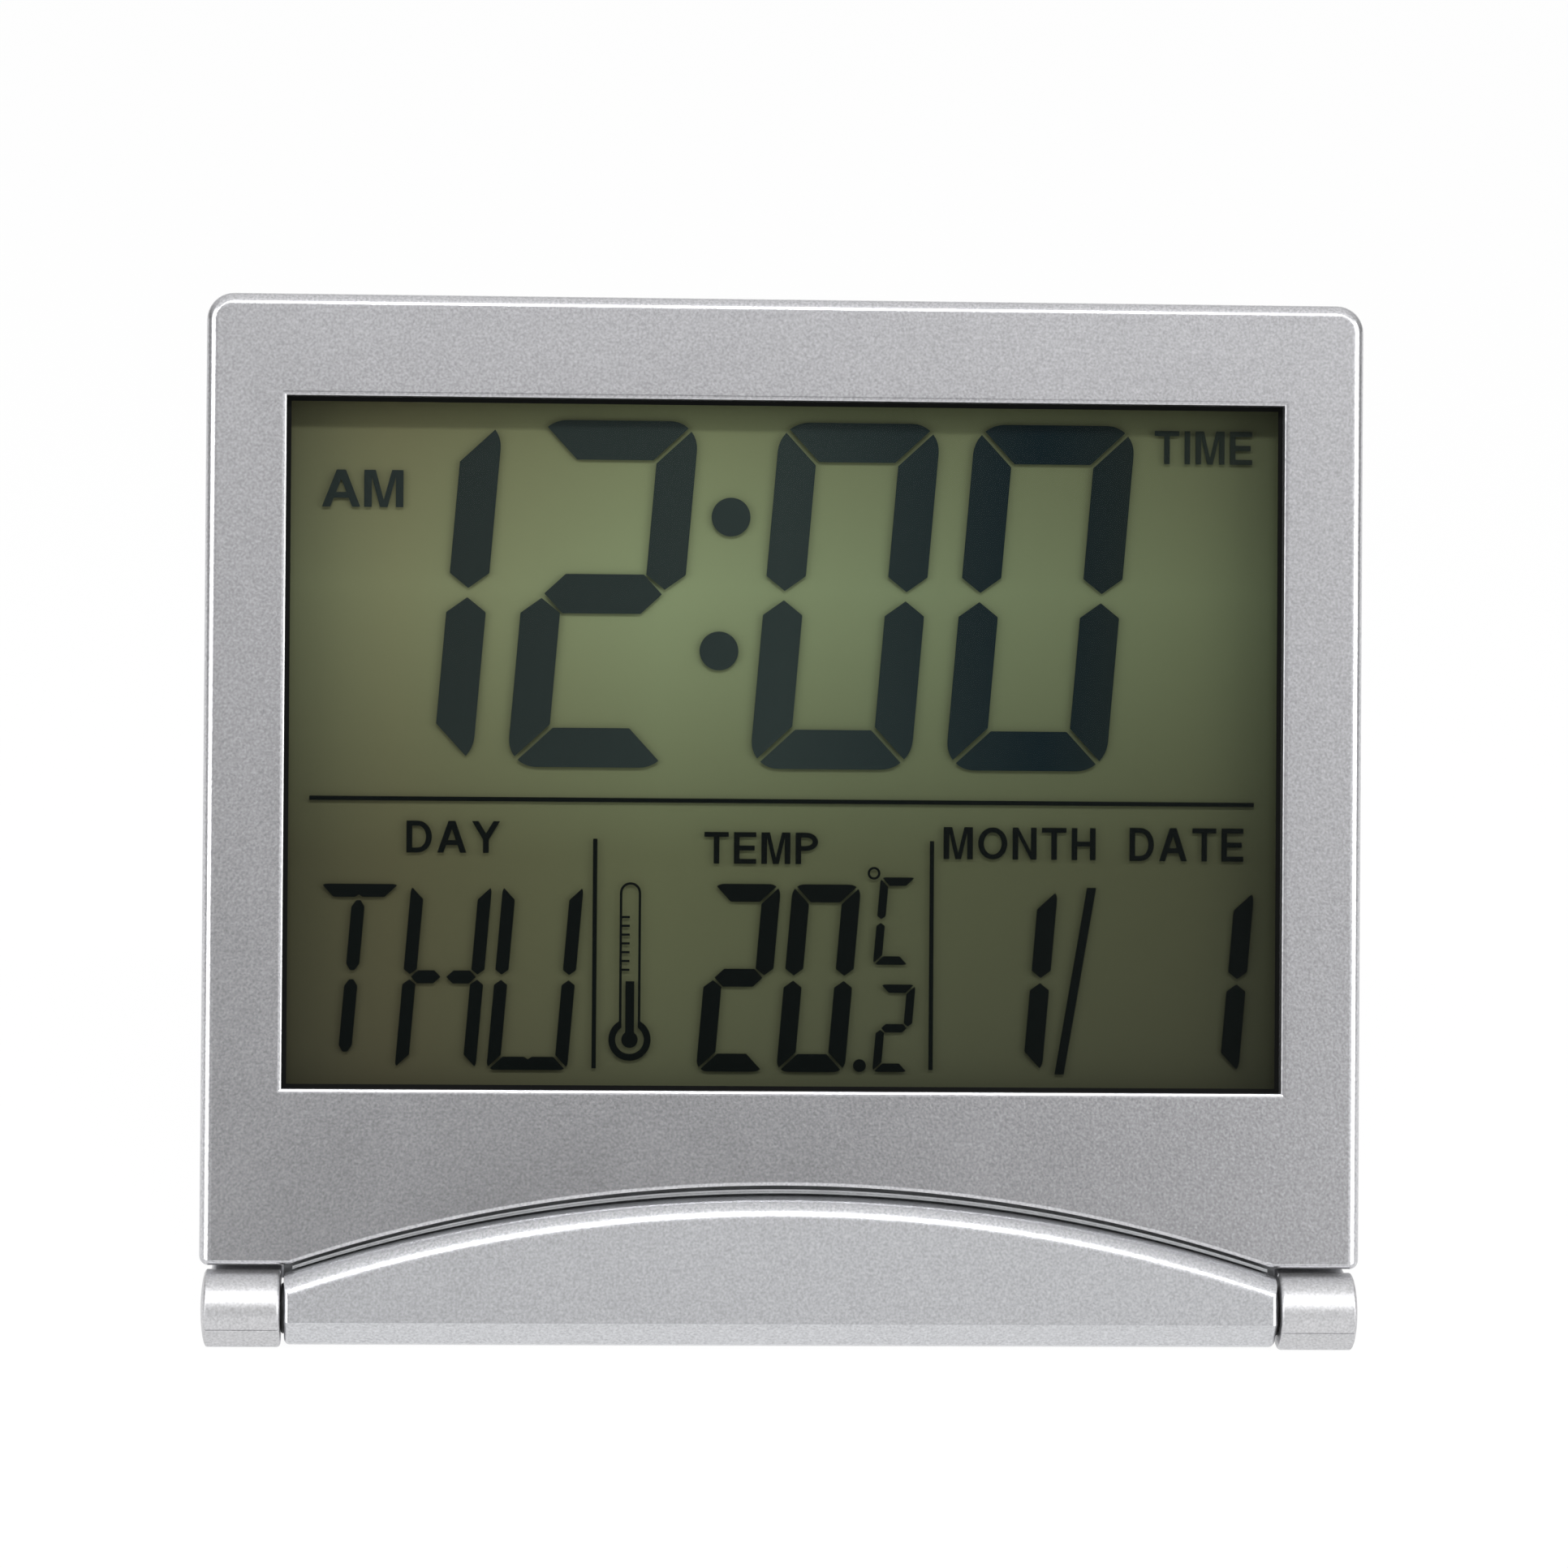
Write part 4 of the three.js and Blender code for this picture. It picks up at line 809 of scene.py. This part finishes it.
# Characters and signs, in millimetres from the middle of the window.
# Cells: bottom, width, height, stroke, gap and outer corner radius
SLANT = 0.083
SHOULDER = 0.38
CELL_STEPS = 4
SEGMENTS = {"0": "abcdef", "1": "bc", "2": "abged", "C": "afed", "T": "", "H": "bcef", "U": "bcef"}
TIME_CELL = (-1.75, 12.62, 27.1, 3.08, 0.36, 2.3)
TIME_LEFTS = (-36.92, -21.6, -2.67, 12.66)
COLON_FOOT = -5.85
COLON_LEVELS = (17.9, 7.43)
COLON_RADIUS = 1.52
DAY_CELL = (-25.35, 6.28, 14.4, 1.02, 0.2, 0.6)
DAY_LEFTS = (-37.24, -30.11, -22.98)
DAY_STEMS = ((1.34, 6.97), (7.68, 13.13))
NOTCH_HALF = 0.3
NOTCH_DEPTH = 0.2
LINK_FLAT = 0.75
LINK_POINT = 0.22
DEGREE_CELL = (-25.4, 5.35, 14.65, 1.4, 0.2, 0.9)
DEGREE_LEFTS = (-6.66, -0.39)
LITTLE_TWO = (-25.36, 2.79, 6.83, 0.66, 0.14, 0.4)
LITTLE_C = (-16.99, *LITTLE_TWO[1:])
LITTLE_LEFT = 7.13
POINT_MIDDLE = (6.13, -24.88)
POINT_RADIUS = 0.5
DEGREE_MIDDLE = (7.17, -9.85)
DEGREE_RADII = (0.5, 0.32)
DATE_CELL = (-25.35, 5.35, 14.4, 1.5, 0.2, 0.9)
DATE_LEFTS = (15.07, 30.53)
SLASH = [(21.43, -25.49), (22.15, -25.49), (24.61, -10.87), (23.89, -10.87)]
GLASS_MIDDLE = -11.85
GLASS_TOP = -10.68
GLASS_HALVES = (0.83, 0.64)
BULB_LEVEL = -22.95
BULB_RADII = (1.65, 1.12)
BULB_STEPS = 24
COLUMN_HALF = 0.34
COLUMN_TOP = -18.4
DROP_RADIUS = 0.64
TICK_COUNT = 7
TICK_TOP = -13.4
TICK_STEP = 0.685
TICK_HALF = 0.09
TICK_INSET = 0.04
DIVIDERS = [(-36.9, -4.45, 37.0, -4.11), (-14.8, -25.2, -14.46, -7.3), (11.53, -25.2, 11.87, -7.3)]

# Legends: strokes and widths of capitals of unit height, and each word's left, bottom, width and height
LETTER_STEM = 0.185
LETTER_BAR = 0.155
LETTER_GAP = 0.17
LETTER_GAPS = {"AM": 0.09}
LETTER_WIDTHS = {
    "A": 0.93, "D": 0.81, "E": 0.73, "H": 0.78, "I": LETTER_STEM, "M": 0.95, "N": 0.78, "O": 0.95, "P": 0.74,
    "T": 0.8, "Y": 0.9,
}
A_TOP = 0.6
A_FOOT = 1.08
A_LEVEL = 0.24
E_ARM = 0.93
M_SHOULDER = 0.82
M_CORNER = 1.5
M_VEE = 0.2
N_DROP = 0.74
P_BASE = 0.42
Y_ARM = 1.15
Y_FORK = 0.42
BOWL_FLAT = 0.45
BOWL_STEPS = 12
RING_STEPS = 28
LEGENDS = {
    "AM": (-36.11, 18.4, 6.33, 2.9),
    "TIME": (29.0, 22.41, 7.7, 2.6),
    "DAY": (-29.33, -8.48, 7.28, 2.48),
    "TEMP": (-6.12, -9.18, 8.9, 2.47),
    "MONTH": (12.61, -8.7, 11.94, 2.51),
    "DATE": (27.22, -8.74, 8.97, 2.6),
}


class Ink:
    """Flat shapes in millimetres from a point of the display or the back, gathered into one thin piece."""

    def __init__(self, name, origin=None, finish="lcd_segment"):
        self.name = name
        self.origin = origin or Vector((0, segment_level, window_middle))
        self.finish = finish
        self.mesh = bmesh.new()

    def shape(self, points, hole=()):
        """Adds an outline, filled or with a hole of as many points."""
        sides = ((points, 0), (points, SEGMENT_DEPTH), (hole, SEGMENT_DEPTH), (hole, 0))
        rings = [[(x * MM, depth, z * MM) for x, z in outline] for outline, depth in sides if outline]
        skin(self.mesh, rings, hoop=bool(hole))

    def disc(self, centre, radius, *hole):
        """Adds a disc, or a ring if the radius of a hole is given."""
        self.shape(*(circle(centre, size) for size in (radius, *hole)))

    def place(self, body="clock_body"):
        piece = object_from(self.name, self.mesh)
        piece.data.transform(Matrix.Translation(self.origin - Vector((0, SEGMENT_DEPTH / 2, 0))))
        piece.data.transform(case_frame)
        piece.data.materials.append(materials[self.finish])
        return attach(piece, body)


class Cell:
    """One seven-segment character: its slanted box, stroke, gap and outer corner radius, in millimetres."""

    def __init__(self, left, bottom, width, height, stroke, gap, corner):
        self.left, self.bottom, self.width, self.height = left, bottom, width, height
        self.stroke, self.gap, self.corner = stroke, gap, corner
        self.corner_gap = gap / (2 * corner)
        self.inner_gap = gap / math.sqrt(2)

    def mirrored(self, points, across, along):
        flip = [(self.width - x if across else x, self.height - z if along else z) for x, z in points]
        return flip[::-1] if across != along else flip

    def rounding(self, x, start, end):
        """Part of an upper outer corner whose middle is at x."""
        return arc((x, self.height - self.corner), self.corner, start, end, CELL_STEPS)

    def top(self):
        under, inner = self.height - self.stroke, self.stroke + self.inner_gap
        right = self.rounding(self.width - self.corner, math.pi / 4 + self.corner_gap, math.pi / 2)
        left = self.rounding(self.corner, math.pi / 2, 0.75 * math.pi - self.corner_gap)
        return right + left + [(inner, under), (self.width - inner, under)]

    def notched_top(self):
        """The top bar with a small V in the middle of its lower edge."""
        middle, under = self.width / 2, self.height - self.stroke
        notch = [(middle - NOTCH_HALF, under), (middle, under + NOTCH_DEPTH), (middle + NOTCH_HALF, under)]
        *others, last = self.top()
        return others + notch + [last]

    def upper_right(self):
        inner, under = self.width - self.stroke, self.height - self.stroke - self.inner_gap
        tip = self.height / 2 + self.gap
        shoulder = tip + SHOULDER * self.stroke
        corner = self.rounding(self.width - self.corner, 0, math.pi / 4 - self.corner_gap)
        lower = [(inner, shoulder), (self.width - self.stroke / 2, tip), (self.width, shoulder)]
        return corner + [(inner, under)] + lower

    def middle(self):
        level, half = self.height / 2, self.stroke / 2
        flat = self.stroke + self.gap / 2
        low = [(flat - half, level), (flat, level - half), (self.width - flat, level - half)]
        return low + [(self.width - x, self.height - z) for x, z in low]

    def segment(self, letter):
        points = self.top() if letter in "ad" else self.middle() if letter == "g" else self.upper_right()
        return self.mirrored(points, letter in "ef", letter in "cde")

    def draw(self, ink, character, *outlines):
        """Adds a character's segments, and outlines of its own."""
        for points in (*map(self.segment, SEGMENTS[character]), *outlines):
            ink.shape([(self.left + x + SLANT * z, self.bottom + z) for x, z in points])


def time_digits():
    ink = Ink("time_digits")
    for left, digit in zip(TIME_LEFTS, "1200"):
        cell = Cell(left, *TIME_CELL)
        cell.draw(ink, digit)
    for level in COLON_LEVELS:
        ink.disc((COLON_FOOT + SLANT * (level - cell.bottom), level), COLON_RADIUS)
    ink.place()


def both_sides(right, width, peak=()):
    """An outline that is the same on both sides: its right side, a peak if any, then its left side."""
    return [*right, *peak, *((width - x, z) for x, z in right[::-1])]


def upright_bar(middle, low, high, stroke):
    """An upright bar with blunt points."""
    half, tip = stroke / 2, stroke / 6
    side = middle + half
    right = [(middle + tip, low), (side, low + half), (side, high - half), (middle + tip, high)]
    return both_sides(right, 2 * middle)


def day_letters():
    ink = Ink("day_letters")
    tee, aitch, you = (Cell(left, *DAY_CELL) for left in DAY_LEFTS)
    stems = [upright_bar(tee.width / 2, low, high, tee.stroke) for low, high in DAY_STEMS]
    tee.draw(ink, "T", tee.notched_top(), *stems)
    middle, level, half = aitch.width / 2, aitch.height / 2, aitch.stroke / 2
    tip = half + aitch.gap / 2
    link = [(tip, level), (tip + half, level - half), (middle - LINK_FLAT, level - half)]
    link += [(middle - LINK_POINT, level)] + [(x, aitch.height - z) for x, z in link[:0:-1]]
    aitch.draw(ink, "H", link, aitch.mirrored(link, True, False))
    you.draw(ink, "U", you.mirrored(you.notched_top(), False, True))
    ink.place()


def temperature_digits():
    ink = Ink("temperature_digits")
    for left, digit in zip(DEGREE_LEFTS, "20"):
        Cell(left, *DEGREE_CELL).draw(ink, digit)
    Cell(LITTLE_LEFT, *LITTLE_TWO).draw(ink, "2")
    Cell(LITTLE_LEFT, *LITTLE_C).draw(ink, "C")
    ink.disc(POINT_MIDDLE, POINT_RADIUS)
    ink.disc(DEGREE_MIDDLE, *DEGREE_RADII)
    ink.place()


def date_digits():
    ink = Ink("date_digits")
    for left in DATE_LEFTS:
        Cell(left, *DATE_CELL).draw(ink, "1")
    ink.shape(SLASH)
    ink.place()


def thermometer():
    ink = Ink("thermometer")

    def bulb(half, radius):
        """A circle that is open above, as wide as a tube."""
        start = math.pi / 2 - math.asin(half / radius)
        return arc((GLASS_MIDDLE, BULB_LEVEL), radius, math.pi - start - 2 * math.pi, start, BULB_STEPS)

    def glass(half, radius):
        round_top = arc((GLASS_MIDDLE, GLASS_TOP - GLASS_HALVES[0]), half, 0, math.pi, BULB_STEPS // 2)
        return bulb(half, radius) + round_top

    ink.shape(*(glass(half, radius) for half, radius in zip(GLASS_HALVES, BULB_RADII)))
    column = [(GLASS_MIDDLE + COLUMN_HALF, COLUMN_TOP), (GLASS_MIDDLE - COLUMN_HALF, COLUMN_TOP)]
    ink.shape(bulb(COLUMN_HALF, DROP_RADIUS) + column)
    for i in range(TICK_COUNT):
        level = TICK_TOP - TICK_STEP * i
        left, right = GLASS_MIDDLE - GLASS_HALVES[1], GLASS_MIDDLE - TICK_INSET
        ink.shape(band(left, level - TICK_HALF, right, level + TICK_HALF))
    ink.place()


def dividers():
    ink = Ink("dividers")
    for edges in DIVIDERS:
        ink.shape(band(*edges))
    ink.place()


def capital(letter):
    """A plain capital of unit height: the outlines that fill it, some with a hole."""
    stem, bar, wide = LETTER_STEM, LETTER_BAR, LETTER_WIDTHS[letter]
    middle, inner, edge = wide / 2, wide - stem, (wide + stem) / 2
    low, high = 0.5 - bar / 2, 0.5 + bar / 2
    if letter == "A":
        splay, foot, level = middle - A_TOP * stem, A_FOOT * stem, A_LEVEL
        legs = both_sides([(wide - foot, 0), (wide, 0), (wide - splay, 1)], wide)
        ends = [(wide - foot - z * splay, z) for z in (level, level + bar)]
        return [(legs + [(middle, (middle - foot) / splay)],), (both_sides(ends, wide),)]
    if letter in "DP":
        base = 0 if letter == "D" else P_BASE
        flat, centre, rise = BOWL_FLAT * wide, (1 + base) / 2, (1 - base) / 2
        turns = [math.pi * (i / BOWL_STEPS - 0.5) for i in range(BOWL_STEPS + 1)]
        bowl = [(flat + (wide - flat) * math.cos(t), centre + rise * math.sin(t)) for t in turns]
        hole = [(flat + (inner - flat) * math.cos(t), centre + (rise - bar) * math.sin(t)) for t in turns]
        stalk = [(band(0, 0, stem, base),)] if base else []
        return [([(0, base)] + bowl + [(0, 1)], [(stem, base + bar)] + hole + [(stem, 1 - bar)])] + stalk
    if letter == "O":
        turns = [2 * math.pi * i / RING_STEPS for i in range(RING_STEPS)]
        sizes = ((middle, 0.5), (middle - stem, 0.5 - bar))
        return [[[(middle + a * math.cos(t), 0.5 + b * math.sin(t)) for t in turns] for a, b in sizes]]
    if letter == "Y":
        arm = Y_ARM * stem
        vee = 1 - (middle - arm) * (1 - Y_FORK) / (middle - stem / 2)
        return [(both_sides([(edge, 0), (edge, Y_FORK), (wide, 1), (wide - arm, 1)], wide, [(middle, vee)]),)]
    arm, top = E_ARM * wide, 1 - bar
    outlines = {
        "E": [
            (0, 0), (wide, 0), (wide, bar), (stem, bar), (stem, low), (arm, low),
            (arm, high), (stem, high), (stem, top), (wide, top), (wide, 1), (0, 1),
        ],
        "H": both_sides([(inner, low), (inner, 0), (wide, 0), (wide, 1), (inner, 1), (inner, high)], wide),
        "I": band(0, 0, wide, 1),
        "M": both_sides([
            (edge, 0), (inner, M_SHOULDER), (inner, 0), (wide, 0), (wide, 1), (wide - M_CORNER * stem, 1),
        ], wide, [(middle, M_VEE)]),
        "N": [
            (0, 0), (stem, 0), (stem, N_DROP), (inner, 0), (wide, 0),
            (wide, 1), (inner, 1), (inner, 1 - N_DROP), (stem, 1), (0, 1),
        ],
        "T": both_sides([(edge, 0), (edge, top), (wide, top), (wide, 1)], wide),
    }
    return [(outlines[letter],)]


def legend(word):
    """Plain capitals fitted to a box of the display."""
    left, bottom, width, height = LEGENDS[word]
    gap = LETTER_GAPS.get(word, LETTER_GAP)
    across = width / (sum(LETTER_WIDTHS[letter] for letter in word) + gap * (len(word) - 1))
    ink = Ink("legend_" + word.lower())
    for letter in word:
        for rings in capital(letter):
            ink.shape(*([(left + x * across, bottom + z * height) for x, z in ring] for ring in rings))
        left += (LETTER_WIDTHS[letter] + gap) * across
    ink.place()


def display_shade_rim():
    """A dark rim that shows just inside the window: painted shade for the shade in the gap between the bezel and
    the display.
    """
    front = lens_front - SEAT
    piece = extrude(window_outline(SHADE_RIM_SHOW), front, front + SEAT / 2)
    cut(piece, extrude(window_outline(-SHADE_RIM_SHOW), front - SEAT, front + SEAT))
    dress(piece, "display_shade_rim", "mask_black")


def sheet(name, nodes, finish, closed):
    """The front face and rim of a stack of display plates, closed behind or open to what lies under it."""
    low, high = case_span(*nodes)
    piece = extrude(rounded_rect(low.x, low.z, high.x, high.z), panel_level if closed else low.y, high.y)
    if not closed:
        mesh = bmesh.new()
        mesh.from_mesh(piece.data)
        behind = [f for f in mesh.faces if all(abs(v.co.y - high.y) < TOUCH for v in f.verts)]
        bmesh.ops.delete(mesh, geom=behind, context="FACES")
        mesh.to_mesh(piece.data)
        mesh.free()
    dress(piece, name, finish, nodes)


# Keys and marks on the back; the marks' sizes are in millimetres
KEY_MARK_GAP = 2 * MM
ARROW = [(-1, -0.7), (1, -0.7), (0, 0.9)]
KEY_SIGNS = {
    "mode": [circle((0, 0), 0.85), circle((0, 0), 0.6)],
    "set": [circle((0, 0), 0.6)],
    "up": [ARROW],
    "down": [[(-x, -z) for x, z in ARROW]],
}
POINTER_HALF = 0.8
POINTER_FOOT = 2.4
POINTER_TIP = 0.9
STOP_GAP = 1.5
STOP_RADII = (0.6, 0.36)


def key_domes():
    """The rubber domes under the keys, as pieces of their own in place of the CAD nodes."""
    for key in KEY_SIGNS:
        node = key + "_dome"
        mesh = bmesh.new()
        mesh.from_mesh(frame["nodes"][node].data)
        bmesh.ops.remove_doubles(mesh, verts=mesh.verts, dist=WELD)
        piece = object_from(node, mesh)
        dress(piece, node + "_rubber", "black_rubber", [node], place=Matrix.Identity(4))
        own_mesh(piece)


def key_marks():
    """Printed signs over the keys on the back: a ring, a dot and two arrows."""
    rear = case_span("rear_case")[1].y
    for key, sign in KEY_SIGNS.items():
        low, high = case_span(key + "_button")
        mark = Ink(key + "_mark", Vector(((low.x + high.x) / 2, rear, high.z + KEY_MARK_GAP)), "mark_grey")
        mark.shape(*sign)
        mark.place()


def door_marks():
    """A pointer on the battery door, and the two places on the case that it turns between."""
    turn = joints["battery_door_turn"]
    axis = case_frame.to_3x3().transposed() @ Vector(turn["axis"])
    centre = case_frame.inverted() @ Vector(turn["pos_m"])
    low, high = case_span("battery_door")
    centre.y = high.y
    radius = (high.x - low.x) / 2 / MM
    pointer = Ink("door_pointer", centre, "mark_grey")
    foot = radius - POINTER_FOOT
    pointer.shape([(-POINTER_HALF, foot), (POINTER_HALF, foot), (0, radius - POINTER_TIP)])
    pointer.place("door")
    centre.y = case_span("rear_case")[1].y
    stops = Ink("door_stops", centre, "mark_grey")
    for limit, radii in zip(turn["range_deg"], (STOP_RADII[:1], STOP_RADII)):
        spoke = Matrix.Rotation(math.radians(limit), 3, axis) @ Vector((0, 0, radius + STOP_GAP))
        stops.disc(spoke.xz, *radii)
    stops.place()


# Stage, light and camera
def make_floor():
    data = bpy.data.meshes.new("floor")
    corners = [(x, y, 0) for x, y in band(-FLOOR_REACH, FLOOR_FRONT, FLOOR_REACH, FLOOR_REACH)]
    data.from_pydata(corners, [], [(0, 1, 2, 3)])
    material = bpy.data.materials.new("floor_white")
    material.use_nodes = True
    nodes = Nodes(material.node_tree)
    nodes.tree.nodes.clear()
    share = nodes.calculate("MULTIPLY", nodes.white_share(), FLOOR_WHITE)
    paint = nodes.add("ShaderNodeBsdfDiffuse", {"Color": FLOOR_PAINT}).outputs[0]
    glow = nodes.add("ShaderNodeEmission", {"Strength": FLOOR_GLOW}).outputs[0]
    both = nodes.add("ShaderNodeMixShader", {0: share, 1: paint, 2: glow}).outputs[0]
    nodes.add("ShaderNodeOutputMaterial", {"Surface": both})
    data.materials.append(material)
    new_object("floor", data)


def make_world():
    """White background; what mirrors the room sees it dim round the camera, lighter up and to the right."""
    world = bpy.data.worlds.new("studio")
    bpy.context.scene.world = world
    world.use_nodes = True
    nodes = Nodes(world.node_tree)
    place = nodes.add("ShaderNodeTexCoord").outputs["Generated"]

    def along(direction):
        node = nodes.add("ShaderNodeVectorMath", {0: place, 1: direction}, operation="DOT_PRODUCT")
        return node.outputs["Value"]

    def by_angle(direction, stops):
        turn = nodes.calculate("DIVIDE", nodes.calculate("ARCCOSINE", along(direction.normalized())), math.pi)
        node = nodes.add("ShaderNodeFloatCurve", {"Value": turn})
        points = node.mapping.curves[0].points
        while len(points) < len(stops):
            points.new(0.5, 0.5)
        for point, (angle, level) in zip(points, stops):
            point.location = (angle / 180, level)
            point.handle_type = "VECTOR"
        node.mapping.update()
        return node.outputs["Value"]

    dim = by_angle(ROOM_DIM_SIDE * aside - ROOM_DIM_DROP * upward - rearward, ROOM_DIM)
    front = nodes.calculate("ADD", along(aside * ROOM_RIGHT), dim, clamp=True)
    near = nodes.calculate("MULTIPLY", front, by_angle(-rearward, ROOM_NEAR))
    around = nodes.calculate("ADD", by_angle(-rearward, ROOM_SURROUND), near)
    mirrored = nodes.calculate("MAXIMUM", around, along(upward * ROOM_SKY))
    level = nodes.mix(nodes.white_share(), ROOM_LIGHT, mirrored)
    camera = nodes.add("ShaderNodeLightPath").outputs["Is Camera Ray"]
    background = nodes.tree.nodes["Background"]
    nodes.feed(background.inputs["Color"], (1, 1, 1, 1))
    nodes.feed(background.inputs["Strength"], nodes.mix(camera, level, 1.0))


def facing(up, side):
    """The direction at angles up and to the right of the display face's own."""
    local = Vector((math.cos(up) * math.sin(side), -math.cos(up) * math.cos(side), math.sin(up)))
    return case_frame.to_3x3() @ local


def add_light(name, up, side, roll, size, power):
    """A soft box aimed at the middle of the face, at angles up and to the right of the face's normal."""
    data = bpy.data.lights.new(name, "AREA")
    data.shape = "RECTANGLE"
    data.size, data.size_y = size
    data.energy = power
    lamp = new_object(name, data)
    target = case_frame @ Vector((0, 0, window_middle))
    lamp.location = target + facing(math.radians(up), math.radians(side)) * LAMP_DISTANCE
    aim = (target - lamp.location).to_track_quat("-Z", "Y")
    lamp.rotation_euler = (aim @ Quaternion((0, 0, 1), math.radians(roll))).to_euler()


def make_camera():
    data = bpy.data.cameras.new("camera")
    camera = new_object("camera", data)
    aim = case_frame @ Vector((CAMERA_AIM_SIDE, 0, CAMERA_AIM_HEIGHT))
    toward = facing(CAMERA_PITCH, -CAMERA_YAW)
    side = upward.cross(toward).normalized()
    up = toward.cross(side)
    turn = Matrix((side, up, toward)).transposed() @ Matrix.Rotation(-CAMERA_ROLL, 3, "Z")
    camera.matrix_world = Matrix.Translation(aim + CAMERA_DISTANCE * toward) @ turn.to_4x4()
    data.sensor_width = CAMERA_SENSOR
    data.lens = CAMERA_SENSOR * CAMERA_DISTANCE / CAMERA_WIDTH
    bpy.context.scene.camera = camera


bpy.context.scene.view_settings.view_transform = "Standard"
make_camera()
make_world()
make_floor()
for name, setting in LAMPS.items():
    add_light(name, *setting)
dress_nodes()
bezel_shell()
washers()
block_shell()
cover_shell()
time_digits()
day_letters()
temperature_digits()
date_digits()
thermometer()
dividers()
for word in LEGENDS:
    legend(word)
key_domes()
key_marks()
door_marks()
display_shade_rim()
front_stack = ["display_lens", "lcd_front_polariser", "lcd_front_glass"]
sheet("display_window", front_stack, "clear_pane", closed=False)
sheet("reflector_panel", ["lcd_reflector", "lcd_rear_glass"], "reflector_green", closed=True)
